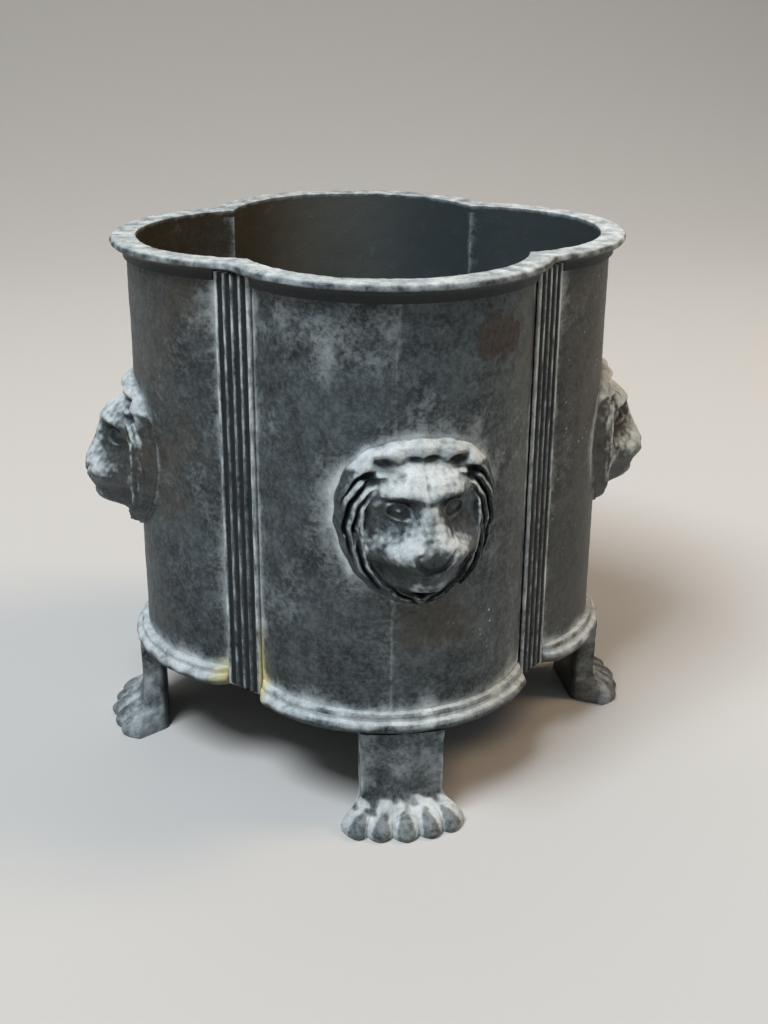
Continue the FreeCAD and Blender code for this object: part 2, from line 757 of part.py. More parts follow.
def foot_outline(level, inset):
    """One outline of a leg or paw: five toes in front, which fade into the leg, and a flat back."""
    height_share, paw_share, cut_share, width_share = level
    valleys = [foot_point(shares, level) for shares in toe_valley_shares]
    edges = []
    for shares, left, right in zip(toe_tip_shares, valleys, valleys[1:]):
        middle = (left + right) / 2
        rise = (foot_point(shares, level) - middle) * cut_share
        points = [left + (right - left) * place + rise * height for place, height in toe_round_shares]
        toe = Part.BSplineCurve()
        toe.interpolate(Points=points, Parameters=[place for place, height in toe_round_shares])
        edges.append(toe.toShape())
    half = leg_width * width_share / 2 - inset
    z = foot_height * height_share
    back = leg_back + inset
    edges += segments([valleys[-1], Vector(back, half, z), Vector(back, -half, z), valleys[0]])
    return Part.Wire(edges)


def make_foot(quarter):
    """Leg and paw in one casting, with a fixing lug under the floor."""
    leg = Part.makeLoft([foot_outline(level, 0) for level in leg_level_shares], True, False)
    paw = Part.makeLoft([foot_outline(level, paw_inset) for level in paw_level_shares], True, False)
    lug_start = leg_back - lug_length + lug_width / 2
    bottom = foot_height - lug_thickness
    lug = Part.makeBox(leg_front - wall_thickness - lug_start, lug_width, lug_thickness,
                       Vector(lug_start, -lug_width / 2, bottom))
    lug = lug.fuse(Part.makeCylinder(lug_width / 2, lug_thickness, Vector(lug_start, 0, bottom)))
    place = Vector(bolt_distance(), 0, bottom)
    hole = Part.makeCylinder(foot_bolt_radius + hole_clearance, lug_thickness, place)
    foot = leg.fuse(paw).fuse(lug).cut(hole).removeSplitter()
    foot.translate(Vector(0, foot_shift(quarter), 0))
    return quarter_turn(foot, quarter)


def make_foot_bolt():
    """Hexagon bolt from inside the planter, down through the floor and the lug."""
    head_start = floor_top + foot_washer_thickness
    end = foot_height - lug_thickness - foot_nut_thickness - foot_bolt_end_length
    head = hexagon_prism(foot_head_across_flats, foot_head_thickness, Vector(bolt_distance(), 0, head_start),
                         Vector(0, 0, 1))
    shank = Part.makeCylinder(foot_bolt_radius, head_start - end, Vector(bolt_distance(), 0, end))
    return head.fuse(shank)


def make_foot_washer():
    """Plain washer under a foot bolt's head."""
    base = Vector(bolt_distance(), 0, floor_top)
    washer = Part.makeCylinder(foot_washer_radius, foot_washer_thickness, base)
    return washer.cut(Part.makeCylinder(foot_bolt_radius + hole_clearance, foot_washer_thickness, base))


def make_foot_nut():
    """Nut under a foot's lug."""
    base = Vector(bolt_distance(), 0, foot_height - lug_thickness - foot_nut_thickness)
    nut = hexagon_prism(foot_head_across_flats, foot_nut_thickness, base, Vector(0, 0, 1))
    return nut.cut(Part.makeCylinder(foot_bolt_radius + seat_clearance, foot_nut_thickness, base))


def foot_set(piece):
    """The same fastener at each of the four feet."""
    copies = []
    for quarter in range(4):
        copy = piece.copy()
        copy.translate(Vector(0, foot_shift(quarter), 0))
        copies.append(quarter_turn(copy, quarter))
    return Part.makeCompound(copies)


def mask_set(piece):
    """The same fastener behind each of the four masks."""
    return Part.makeCompound([quarter_turn(mask_turn(piece, quarter), quarter) for quarter in range(4)])


def strip_set(maker):
    """The same fastener on both studs of each corner strip."""
    pieces = [maker(z) for z in strip_stud_heights]
    return Part.makeCompound([corner_turn(piece, quarter) for piece in pieces for quarter in range(4)])


def export(shape, node):
    """Write one node of the assembly."""
    shape.exportStep("parts/" + node + ".step")


os.makedirs("parts", exist_ok=True)
export(make_base(), "base")
export(make_rim(), "rim")
strip = make_strip()
mask = make_mask()
for quarter in range(4):
    side = side_names[quarter]
    export(make_wall(quarter), side + "_wall")
    export(quarter_turn(mask_turn(mask, quarter), quarter), side + "_mask")
    export(make_foot(quarter), side + "_foot")
    export(corner_turn(strip, quarter), corner_names[quarter] + "_strip")
export(strip_set(make_strip_stud), "strip_studs")
export(strip_set(make_saddle), "strip_saddles")
export(strip_set(make_strip_nut), "strip_nuts")
export(mask_set(mask_stud(0)), "mask_studs")
export(mask_set(make_mask_washer()), "mask_washers")
export(mask_set(make_mask_nut()), "mask_nuts")
export(foot_set(make_foot_bolt()), "foot_bolts")
export(foot_set(make_foot_washer()), "foot_washers")
export(foot_set(make_foot_nut()), "foot_nuts")
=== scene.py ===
import math
import bpy
import numpy as np
from mathutils import Matrix, Vector


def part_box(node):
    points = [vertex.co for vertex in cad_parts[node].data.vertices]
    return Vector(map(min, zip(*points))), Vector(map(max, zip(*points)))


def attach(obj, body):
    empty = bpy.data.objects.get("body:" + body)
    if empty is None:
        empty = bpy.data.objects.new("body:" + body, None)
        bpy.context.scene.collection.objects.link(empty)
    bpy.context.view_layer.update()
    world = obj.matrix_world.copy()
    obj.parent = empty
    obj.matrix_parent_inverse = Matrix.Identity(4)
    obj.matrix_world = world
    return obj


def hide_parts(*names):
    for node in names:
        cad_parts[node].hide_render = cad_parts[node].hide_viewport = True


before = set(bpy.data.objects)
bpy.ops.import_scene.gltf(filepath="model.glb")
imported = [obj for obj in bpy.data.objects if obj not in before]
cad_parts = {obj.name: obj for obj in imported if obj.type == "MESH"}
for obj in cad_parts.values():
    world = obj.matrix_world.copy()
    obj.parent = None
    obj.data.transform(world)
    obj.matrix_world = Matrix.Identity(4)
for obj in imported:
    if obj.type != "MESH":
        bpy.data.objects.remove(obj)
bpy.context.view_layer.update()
scene = bpy.context.scene
print("frame loaded:", len(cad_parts), "nodes")

# everything is in metres; the front lobe looks towards -Y
sides = ("right", "back", "left", "front")
corners = ("back_right", "back_left", "front_left", "front_right")
mm = 0.001


# node trees

class Net:
    # one node tree, for a material or for geometry
    def __init__(self, tree):
        self.tree = tree

    def node(self, kind, settings=None, inputs=None, out=0):
        made = self.tree.nodes.new(kind)
        for name, value in (settings or {}).items():
            setattr(made, name, value)
        for key, value in (inputs or {}).items():
            self.feed(made.inputs[key], value)
        return Wire(self, made.outputs[out]) if len(made.outputs) else made

    def feed(self, socket, value):
        if isinstance(value, Wire):
            self.tree.links.new(value.socket, socket)
        else:
            socket.default_value = value

    def mix(self, factor, first, second):
        return self.node("ShaderNodeMix", {"data_type": "RGBA"}, {0: factor, 6: first, 7: second}, 2)

    def noise(self, place, scale, detail=4.0, roughness=0.6, distortion=0.0):
        return self.node("ShaderNodeTexNoise", None, {"Vector": place, "Scale": scale, "Detail": detail,
                                                      "Roughness": roughness, "Distortion": distortion})

    def attribute(self, name):
        return self.node("ShaderNodeAttribute", {"attribute_name": name}, None, "Fac")


class Wire:
    # one output socket; sums and products of wires add Math nodes
    def __init__(self, net, socket):
        self.net = net
        self.socket = socket

    def maths(self, operation, *values):
        return self.net.node("ShaderNodeMath", {"operation": operation}, dict(enumerate(values)))

    def __add__(self, other):
        return self.maths("ADD", self, other)

    def __radd__(self, other):
        return self.maths("ADD", other, self)

    def __sub__(self, other):
        return self.maths("SUBTRACT", self, other)

    def __rsub__(self, other):
        return self.maths("SUBTRACT", other, self)

    def __mul__(self, other):
        return self.maths("MULTIPLY", self, other)

    def __rmul__(self, other):
        return self.maths("MULTIPLY", other, self)

    def __truediv__(self, other):
        return self.maths("DIVIDE", self, other)

    def __pow__(self, other):
        return self.maths("POWER", self, other)

    def __abs__(self):
        return self.maths("ABSOLUTE", self)

    def sine(self):
        return self.maths("SINE", self)

    def root(self):
        return self.maths("SQRT", self)

    def above(self, other):
        return self.maths("GREATER_THAN", self, other)

    def atLeast(self, other):
        return self.maths("MAXIMUM", self, other)

    def atMost(self, other):
        return self.maths("MINIMUM", self, other)

    def ease(self, low, high):
        return self.net.node("ShaderNodeMapRange", {"interpolation_type": "SMOOTHSTEP"},
                             {"Value": self, "From Min": low, "From Max": high})

    def axes(self):
        made = self.net.tree.nodes.new("ShaderNodeSeparateXYZ")
        self.net.feed(made.inputs[0], self)
        return [Wire(self.net, socket) for socket in made.outputs]


# the quatrefoil plan that rim, walls and base share
plan = {
    "lobeOffset": 57.5 * mm,
    "wallThickness": 5.5 * mm,
    "stripWidth": 25 * mm,
    "stripGap": 0.5 * mm,
    "sharpCorner": 0.4 * mm,
    "lobeSteps": 150,
    "cornerSteps": 14,
}
plan["wallRadius"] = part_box("right_wall")[1].x - plan["lobeOffset"]
plan["innerRadius"] = plan["wallRadius"] - plan["wallThickness"]
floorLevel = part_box("right_wall")[0].z
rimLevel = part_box("right_wall")[1].z


# finishes

castLook = {
    "dark": (0.024, 0.030, 0.033, 1),
    "slate": (0.128, 0.163, 0.182, 1),
    "earth": (0.080, 0.064, 0.044, 1),
    "chalk": (0.34, 0.385, 0.40, 1),
    "snow": (0.66, 0.70, 0.71, 1),
    "insideWarm": (0.066, 0.052, 0.032, 1),
    "insideMiddle": (0.140, 0.145, 0.128, 1),
    "insideCool": (0.066, 0.086, 0.094, 1),
    "stain": (0.74, 0.66, 0.30, 1),
    "rust": (0.062, 0.046, 0.042, 1),
    "stainWidth": 0.013,
    "stainHeights": (0.022, 0.055),
    "cloudScale": 26.0,
    "mottleScale": 110.0,
    "fleckScale": 380.0,
    "grainScale": 900.0,
    "speckScale": 260.0,
    "bumpDepth": 0.0007,
}


def blankMaterial(name):
    material = bpy.data.materials.new(name)
    material.use_nodes = True
    material.node_tree.nodes.clear()
    return material, Net(material.node_tree)


def castMetal(name):
    material, net = blankMaterial(name)
    look = castLook
    place = net.node("ShaderNodeTexCoord", out="Object")
    bloom = net.attribute("bloom")
    shadeAndGrime = net.attribute("shadeAndGrime")
    inside = net.attribute("inside")
    scar = net.attribute("scar")
    speckZone = net.attribute("speck")
    cloud = net.noise(place, look["cloudScale"], 5.0, 0.62, 0.6)
    mottle = net.noise(place, look["mottleScale"], 6.0, 0.68, 0.3)
    fleck = net.noise(place, look["fleckScale"], 4.0, 0.7)
    grain = net.noise(place, look["grainScale"], 3.0, 0.6)
    patch = cloud.ease(0.36, 0.68) * 0.34 + mottle.ease(0.40, 0.62) * 0.30 + fleck.ease(0.42, 0.60) * 0.36

    # bare metal in darker and paler patches, browner in some clouds
    metal = net.mix(patch, look["dark"], look["slate"])
    warmth = net.noise(place, look["cloudScale"] * 0.5, 3.0, 0.5).ease(0.52, 0.72) * 0.6
    metal = net.mix(warmth, metal, look["earth"])
    x, y, z = place.axes()
    # painted warm shade: the metal turns darker and browner towards +X, on the right side
    metal = net.mix(x.ease(0.03, 0.13) * (0.35 + patch * 0.4), metal, look["earth"])
    insideTone = net.mix(x.ease(-0.085, -0.01), look["insideWarm"], look["insideMiddle"])
    insideTone = net.mix(x.ease(0.0, 0.06), insideTone, look["insideCool"])
    metal = net.mix(inside * (1 - patch * 0.45), metal, insideTone)
    metal = net.mix(scar * 0.7, metal, look["rust"])

    # chalky bloom on what stands proud
    cover = bloom * (0.45 + mottle * 0.75 + cloud * 0.35)
    cover = cover + (mottle - 0.5) * 0.5 + (fleck - 0.5) * 0.6
    chalked = cover.ease(0.30, 0.92)
    thick = cover.ease(0.72, 1.25)
    chalk = net.mix(thick, look["chalk"], look["snow"])
    colour = net.mix(chalked * (1 - fleck.ease(0.54, 0.70) * 0.42), metal, chalk)

    # yellow stain beside the foot of the front left strip
    across = (x - y) * 0.7071
    border = abs(across) - plan["stripWidth"] / 2
    low, tall = look["stainHeights"]
    reach = low + (tall - low) * across.above(0.0)
    fade = (1 - border.ease(0.0, look["stainWidth"])) * (border + 0.002).ease(0.0, 0.002)
    fade = fade * (1 - ((z - 0.060) / reach).ease(0.1, 1.0))
    stain = fade * (1 - (x + y).ease(-0.145, -0.130)) * (1 - inside) * (0.25 + chalked * 0.75)
    colour = net.mix(stain * 0.85, colour, look["stain"])

    # white specks
    spots = net.node("ShaderNodeTexVoronoi", None, {"Vector": place, "Scale": look["speckScale"]},
                     "Distance")
    specks = speckZone * (1 - spots.ease(0.10, 0.24)) * mottle.ease(0.42, 0.55)
    colour = net.mix(specks, colour, look["snow"])
    # painted shade, with some grime: the darkening attribute turns hollows, undersides and channels towards
    # near black
    hollow = (shadeAndGrime * 0.9).atMost(1.0)
    colour = net.mix(hollow, colour, look["dark"])

    height = grain * 0.35 + mottle * 0.45 + chalked * 0.5 + scar * net.noise(place, 420.0, 4.0, 0.7) * 3.0
    height = height + specks * 1.5
    bump = net.node("ShaderNodeBump", None,
                    {"Height": height, "Distance": look["bumpDepth"], "Strength": 0.6})
    rough = (0.50 + chalked * 0.34 + (grain - 0.5) * 0.25).atMost(1.0)
    shader = net.node("ShaderNodeBsdfPrincipled", None, {
        "Base Color": colour, "Roughness": rough, "Metallic": (1 - chalked) * 0.35, "Normal": bump,
        "Specular IOR Level": 0.4})
    net.node("ShaderNodeOutputMaterial", None, {"Surface": shader})
    return material


rustLook = {
    "iron": (0.030, 0.028, 0.027, 1),
    "rust": (0.120, 0.050, 0.022, 1),
    "patchScale": 160.0,
    "grainScale": 900.0,
}


def rustyIron(name):
    material, net = blankMaterial(name)
    place = net.node("ShaderNodeTexCoord", out="Object")
    patch = net.noise(place, rustLook["patchScale"], 5.0, 0.65)
    grain = net.noise(place, rustLook["grainScale"], 3.0, 0.6)
    worn = (patch * 0.7 + grain * 0.4).ease(0.42, 0.66)
    colour = net.mix(worn, rustLook["iron"], rustLook["rust"])
    bump = net.node("ShaderNodeBump", None, {"Height": grain + patch, "Distance": 0.0003, "Strength": 0.5})
    shader = net.node("ShaderNodeBsdfPrincipled", None, {
        "Base Color": colour, "Roughness": 0.55 + worn * 0.3, "Metallic": (1 - worn) * 0.8, "Normal": bump})
    net.node("ShaderNodeOutputMaterial", None, {"Surface": shader})
    return material


finishes = {name: castMetal(name + "Casting") for name in ("wall", "rim", "base", "strip", "mask", "foot")}
finishes["fixings"] = rustyIron("rustyFixings")
print("finishes made:", len(finishes))


# meshes from arrays

def ripple(points, wavelength, seed, waves=16):
    # smooth random waviness of about unit size
    draw = np.random.default_rng(seed)
    directions = draw.normal(size=(waves, 3))
    directions /= np.linalg.norm(directions, axis=1, keepdims=True)
    numbers = 2 * math.pi / (wavelength * draw.uniform(0.7, 1.5, waves))
    phases = draw.uniform(0, 2 * math.pi, waves)
    total = np.zeros(points.shape[:-1])
    for direction, number, phase in zip(directions, numbers, phases):
        total += np.sin(points @ (direction * number) + phase)
    return total / math.sqrt(waves / 2)


def ease(value, low, high):
    share = np.clip((value - low) / (high - low), 0, 1)
    return share * share * (3 - 2 * share)


def curveThrough(table, column, value):
    # smooth curve through one column of a table, whose first column holds the levels
    levels, values = table[:, 0], table[:, column]
    slopes = np.gradient(values, levels)
    value = np.clip(value, levels[0], levels[-1])
    index = np.clip(np.searchsorted(levels, value) - 1, 0, len(levels) - 2)
    span = levels[index + 1] - levels[index]
    t = (value - levels[index]) / span
    return ((2 * t**3 - 3 * t**2 + 1) * values[index] + (t**3 - 2 * t**2 + t) * span * slopes[index]
            + (3 * t**2 - 2 * t**3) * values[index + 1] + (t**3 - t**2) * span * slopes[index + 1])


def turned(points, quarter):
    # points of the lobe along +X, turned to another lobe
    cosine, sine = ((1, 0), (0, 1), (-1, 0), (0, -1))[quarter % 4]
    x, y, z = points[..., 0], points[..., 1], points[..., 2]
    return np.stack([x * cosine - y * sine, x * sine + y * cosine, z], -1)


def gridFaces(rows, columns, wrapRows=False, start=0):
    # quads over rows of points, each row counter-clockwise seen from above and rows going up
    rowCount = rows if wrapRows else rows - 1
    row, column = np.meshgrid(np.arange(rowCount), np.arange(columns), indexing="ij")
    nextRow = (row + 1) % rows
    nextColumn = (column + 1) % columns
    quads = np.stack([row * columns + column, row * columns + nextColumn,
                      nextRow * columns + nextColumn, nextRow * columns + column], -1)
    return (quads.reshape(-1, 4) + start).tolist()


def meshPiece(name, points, faces, finish, nodes, values=None, sharp=50.0):
    mesh = bpy.data.meshes.new(name)
    mesh.from_pydata(points.reshape(-1, 3).tolist(), [], faces)
    for attribute, data in (values or {}).items():
        layer = mesh.attributes.new(attribute, "FLOAT", "POINT")
        layer.data.foreach_set("value", np.clip(data, 0, 1).astype(np.float32).ravel())
    mesh.shade_smooth()
    mesh.set_sharp_from_angle(angle=math.radians(sharp))
    mesh.materials.append(finishes[finish])
    piece = bpy.data.objects.new(name, mesh)
    scene.collection.objects.link(piece)
    return settle(piece, nodes)


def settle(piece, nodes):
    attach(piece, "root")
    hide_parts(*nodes)
    return piece


def cusp(radius):
    # distance from both axes of the corner where two lobe arcs meet
    offset = plan["lobeOffset"]
    return (offset + math.sqrt(2 * radius**2 - offset**2)) / 2


def planLoop(radius, cornerRadius, z):
    # the whole outline at one level, with inward corners rounded
    centre = cusp(radius + cornerRadius)
    reach = radius / (radius + cornerRadius)
    touchX = plan["lobeOffset"] + (centre - plan["lobeOffset"]) * reach
    touchY = centre * reach
    sweep = math.atan2(touchY, touchX - plan["lobeOffset"])
    angles = np.linspace(-sweep, sweep, plan["lobeSteps"], endpoint=False)
    lobe = np.stack([plan["lobeOffset"] + radius * np.cos(angles), radius * np.sin(angles),
                     angles * 0 + z], -1)
    first = math.atan2(touchY - centre, touchX - centre)
    last = math.atan2(touchX - centre, touchY - centre)
    angles = np.linspace(first, last, plan["cornerSteps"], endpoint=False)
    bend = np.stack([centre + cornerRadius * np.cos(angles), centre + cornerRadius * np.sin(angles),
                     angles * 0 + z], -1)
    quarter = np.concatenate([lobe, bend])
    return np.concatenate([turned(quarter, turn) for turn in range(4)])


def stripDistance(points):
    # how far points lie from the nearest corner diagonal, across it
    return np.abs(np.abs(points[..., 0]) - np.abs(points[..., 1])) / math.sqrt(2)


def outward(points):
    # directions away from the axis of the lobe that a point belongs to
    x, y = points[..., 0], points[..., 1]
    alongX = np.abs(x) > np.abs(y)
    axisX = np.where(alongX, np.sign(x) * plan["lobeOffset"], 0)
    axisY = np.where(alongX, 0, np.sign(y) * plan["lobeOffset"])
    away = np.stack([x - axisX, y - axisY, x * 0], -1)
    return away / np.linalg.norm(away, axis=-1, keepdims=True)


# rim
rimShape = {
    "overhang": 9 * mm,
    "cornerRadius": 12 * mm,
    "edgeRadius": 2.2 * mm,
    "skirtFace": 2.2 * mm,
    "skirtGap": 0.15 * mm,
    "hollow": 2.6 * mm,
    "wear": 0.32 * mm,
    "arcSteps": 6,
}


def arc(centreRadius, centreLevel, size, first, last, steps):
    # points of a section along an arc, as radius and level
    angles = np.radians(np.linspace(first, last, steps))
    return [(centreRadius + size * math.cos(a), centreLevel + size * math.sin(a)) for a in angles]


def makeRim():
    low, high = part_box("rim")
    top, bottom = high.z, low.z
    wall, inner = plan["wallRadius"], plan["innerRadius"]
    outer = wall + rimShape["overhang"]
    edge, steps = rimShape["edgeRadius"], rimShape["arcSteps"]
    face = wall + rimShape["skirtFace"]
    seat = wall + rimShape["skirtGap"]
    hollow = rimShape["hollow"]
    section = [(face, bottom)]
    section += arc(face + hollow, rimLevel - hollow, hollow, 180, 90, steps)
    section += arc(outer - edge, rimLevel + edge, edge, -90, 0, steps)
    section += arc(outer - edge, top - edge, edge, 0, 90, steps)
    section += [(outer - edge - share * (outer - edge - inner), top) for share in (0.25, 0.5, 0.75, 0.93)]
    section += [(inner, top - 0.4 * mm), (inner, rimLevel), (seat, rimLevel), (seat, bottom)]
    loops = []
    for radius, level in section:
        isFlange = radius > face + 1 * mm
        cornerRadius = rimShape["cornerRadius"] + outer - radius if isFlange else plan["sharpCorner"]
        loops.append(planLoop(radius, cornerRadius, level))
    points = np.stack(loops)
    # the skirt stops at the corner strips
    inStrip = stripDistance(points) < plan["stripWidth"] / 2 + plan["stripGap"]
    below = points[..., 2] < rimLevel
    points[..., 2] = np.where(inStrip & below, rimLevel, points[..., 2])
    # uneven, rubbed edge
    radii = np.array([radius for radius, level in section])[:, None]
    proud = ease(radii, wall + 2 * mm, outer)
    dent = ripple(points, 26 * mm, 3) * 0.5 + ripple(points, 9 * mm, 4) * 0.35
    dent += ripple(points, 4 * mm, 5) * 0.3
    points = points + outward(points) * (rimShape["wear"] * (dent - 0.8) * proud)[..., None]
    sag = ripple(points, 60 * mm, 6) * 0.5 + ripple(points, 7 * mm, 7) * 0.25
    points[..., 2] -= rimShape["wear"] * np.clip(1 + sag, 0, 3) * (points[..., 2] > rimLevel + 1 * mm)
    level = points[..., 2]
    upper = ease(level, rimLevel + 1.5 * mm, top)
    onTop = ease(upper, 0.55, 0.95)
    bloom = 0.52 + 0.27 * onTop + (0.05 + 0.09 * (1 - onTop)) * ripple(points, 12 * mm, 8)
    bloom += 0.06 * ease(-points[..., 0] - points[..., 1], -60 * mm, 160 * mm)
    bloom += 0.12 * ease(points[..., 0], 60 * mm, 140 * mm)
    # painted shadow: the skirt under the overhang loses its chalk and goes dark
    below = 1 - ease(level, rimLevel + 0.3 * mm, rimLevel + 1.4 * mm)
    bloom = bloom * (1 - below)
    shadeAndGrime = below * (radii > wall)
    rows, columns = points.shape[:2]
    inside = (radii <= inner + 0.1 * mm) * np.ones_like(bloom)
    meshPiece("rim", points, gridFaces(rows, columns, True), "rim", ["rim"],
              {"bloom": bloom, "shadeAndGrime": shadeAndGrime, "inside": inside})


makeRim()
print("rim made")


# masks: a lion's face in relief, set out in shares of half width, half height and depth
maskShape = {
    "width": 88 * mm,
    "height": 94 * mm,
    "depth": 32 * mm,
    "edge": 2.5 * mm,
    "centre": 181 * mm,
    "frontShift": 6 * mm,
    "seat": 0.15 * mm,
    "rings": 130,
    "spokes": 460,
    "backRings": 6,
    "outlinePower": 2.6,
    "chinTaper": 0.22,
    "scallop": 0.007,
    "scallops": 20,
    "faceFall": 1.7,
}
# level, cheeks and brow, nose and chin, their half width, half width of the face
faceSections = np.array((
    (-0.85, -0.25, -0.19, 0.20, 0.34),
    (-0.77, 0.06, 0.25, 0.22, 0.43),
    (-0.70, 0.20, 0.44, 0.24, 0.49),
    (-0.64, 0.28, 0.69, 0.26, 0.53),
    (-0.55, 0.31, 0.84, 0.28, 0.58),
    (-0.47, 0.33, 0.85, 0.31, 0.62),
    (-0.38, 0.35, 0.90, 0.38, 0.65),
    (-0.28, 0.38, 0.97, 0.50, 0.67),
    (-0.17, 0.40, 1.00, 0.51, 0.69),
    (-0.06, 0.40, 0.98, 0.45, 0.69),
    (0.04, 0.40, 0.91, 0.35, 0.70),
    (0.17, 0.41, 0.82, 0.25, 0.69),
    (0.28, 0.44, 0.76, 0.18, 0.69),
    (0.36, 0.52, 0.72, 0.15, 0.68),
    (0.43, 0.61, 0.70, 0.15, 0.67),
    (0.49, 0.64, 0.67, 0.16, 0.66),
    (0.55, 0.59, 0.60, 0.18, 0.63),
    (0.64, 0.43, 0.44, 0.18, 0.58),
    (0.72, 0.26, 0.26, 0.18, 0.54),
    (0.81, 0.10, 0.10, 0.18, 0.48),
    (0.89, -0.14, -0.14, 0.18, 0.40),
))
# first and last direction in degrees, first and last distance, half width, height
maneLocks = (
    (54, -8, 0.72, 0.950, 0.046, 0.28),
    (47, -22, 0.68, 0.868, 0.044, 0.30),
    (40, -34, 0.66, 0.788, 0.042, 0.31),
    (-6, -56, 0.80, 0.952, 0.046, 0.27),
    (-18, -68, 0.75, 0.870, 0.044, 0.29),
    (-30, -80, 0.71, 0.790, 0.042, 0.29),
    (-52, -88, 0.84, 0.952, 0.046, 0.25),
    (-64, -96, 0.79, 0.872, 0.044, 0.26),
    (-84, -99, 0.86, 0.950, 0.046, 0.24),
    (46, 6, 0.88, 0.962, 0.040, 0.23),
    (-8, -44, 0.935, 0.970, 0.032, 0.20),
)
# direction, distance, half width, half height, height
maneCurls = (
    (90, 0.88, 0.25, 0.15, 0.235),
    (66, 0.89, 0.23, 0.15, 0.245),
    (46, 0.90, 0.19, 0.15, 0.245),
    (90, 0.80, 0.32, 0.16, 0.190),
    (64, 0.81, 0.26, 0.16, 0.190),
)
curlDimples = (
    (84, 0.800, 0.100, 0.045, -0.11),
    (60, 0.815, 0.120, 0.075, -0.15),
    (43, 0.800, 0.080, 0.075, -0.15),
)
# place, level, half width, half height, height
faceDetails = (
    (0.33, 0.385, 0.21, 0.040, -0.09),
    (0.335, 0.25, 0.23, 0.16, -0.07),
    (0.19, -0.09, 0.060, 0.060, 0.032),
    (0.165, -0.120, 0.036, 0.028, -0.022),
    (0.00, -0.230, 0.020, 0.060, -0.040),
    (0.20, -0.230, 0.120, 0.060, 0.028),
    (0.00, 0.62, 0.030, 0.20, -0.040),
    (0.10, 0.52, 0.03, 0.10, -0.018),
    (0.55, -0.42, 0.10, 0.22, -0.05),
    (0.41, -0.17, 0.15, 0.12, 0.10),
)
eyeShape = {
    "place": (0.335, 0.265),
    "half": (0.130, 0.100),
    "ring": 0.050,
    "ball": 0.050,
    "pupil": 0.030,
}
lockShape = {
    "steps": 26,
    "taper": 0.35,
    "tipFall": 0.30,
    "sideFall": 0.14,
    "strand": 0.012,
    "strandWidth": 0.62,
    "fillet": 0.014,
}
maneShape = {
    "base": 0.07,
    "curlFall": 0.13,
    "curlFillet": 0.05,
    "ridge": 0.33,
    "ridgeFall": 0.08,
    "ridgePlace": 1.03,
    "ridgeHalf": 0.05,
    "ridgeFillet": 0.02,
}
# amounts of chalk, added or taken away; mouth, right side and beard take chalk away as painted shade, lip
# and pupil add chalk with a painted highlight
maskPaint = {
    "chalk": 0.30,
    "skyward": 0.52,
    "proud": 0.45,
    "broad": 0.25,
    "underside": 0.24,
    "fringe": 0.45,
    "mouth": 0.45,
    "lip": 0.28,
    "faceEdge": 0.42,
    "mane": 0.20,
    "paintedRightShade": 0.24,
    "beardShade": 0.36,
    "pupil": 0.30,
    "rim": 0.7,
}
lipShape = {
    "level": -0.40,
    "half": 0.24,
    "rise": 0.17,
    "height": 0.025,
    "mouth": -0.070,
}


def outlineSize(angle):
    cosine, sine = np.abs(np.cos(angle)), np.sin(angle)
    power = maskShape["outlinePower"]
    size = (cosine**power + np.abs(sine)**power)**(-1 / power)
    size = size * (1 - maskShape["chinTaper"] * cosine * np.maximum(-sine, 0))
    return size * (1 + maskShape["scallop"] * np.cos(maskShape["scallops"] * angle))


def outlinePlace(degrees, distance):
    angle = math.radians(degrees)
    reach = distance * outlineSize(angle)
    return reach * math.cos(angle), reach * math.sin(angle)


def sectionValue(up, column):
    return curveThrough(faceSections, column, up)


def blendMax(first, second, fillet=0.03):
    return (first + second + np.sqrt((first - second)**2 + fillet**2)) / 2


def spot(across, up, place, level, halfAcross, halfUp):
    return ((across - place) / halfAcross)**2 + ((up - level) / halfUp)**2


def faceHeight(across, up):
    centre, centreHalf, faceHalf = (sectionValue(up, column) for column in (2, 3, 4))
    tilted = up + 0.10 * across + 0.35 * np.maximum(across - 0.42, 0)
    face = sectionValue(tilted, 1)
    reach = across / faceHalf
    power = 1.75 + 0.75 / (1 + np.exp((0.40 - tilted) / 0.05))
    side = np.where(reach < 1, 1 - np.minimum(reach, 1)**power, power * (1 - reach))
    edge = 0.06
    height = np.where(face > edge, edge + (face - edge) * side, face - reach**2 / 2)
    height = height + (centre - face) / (1 + (across / centreHalf)**4)
    for place, level, halfAcross, halfUp, size in faceDetails:
        height = height + size * np.exp(-spot(across, up, place, level, halfAcross, halfUp))
    # ringed eyes
    eye = np.sqrt(spot(across, up, *eyeShape["place"], *eyeShape["half"]))
    height = height + eyeShape["ring"] * np.exp(-((eye - 1) / 0.20)**2)
    height = height + eyeShape["ball"] * np.sqrt(np.maximum(1 - (eye / 0.78)**2, 0))
    height = height + eyeShape["pupil"] * np.exp(-(eye / 0.28)**2)
    # open mouth over a lower lip that curves up at its ends
    share = across / lipShape["half"]
    line = lipShape["level"] + lipShape["rise"] * share**2
    width = 1 - ease(share, 0.6, 1.15)
    height = height + lipShape["height"] * width * np.exp(-((up - line) / 0.035)**2)
    return height + lipShape["mouth"] * width * np.exp(-((up - line - 0.080) / 0.050)**2)


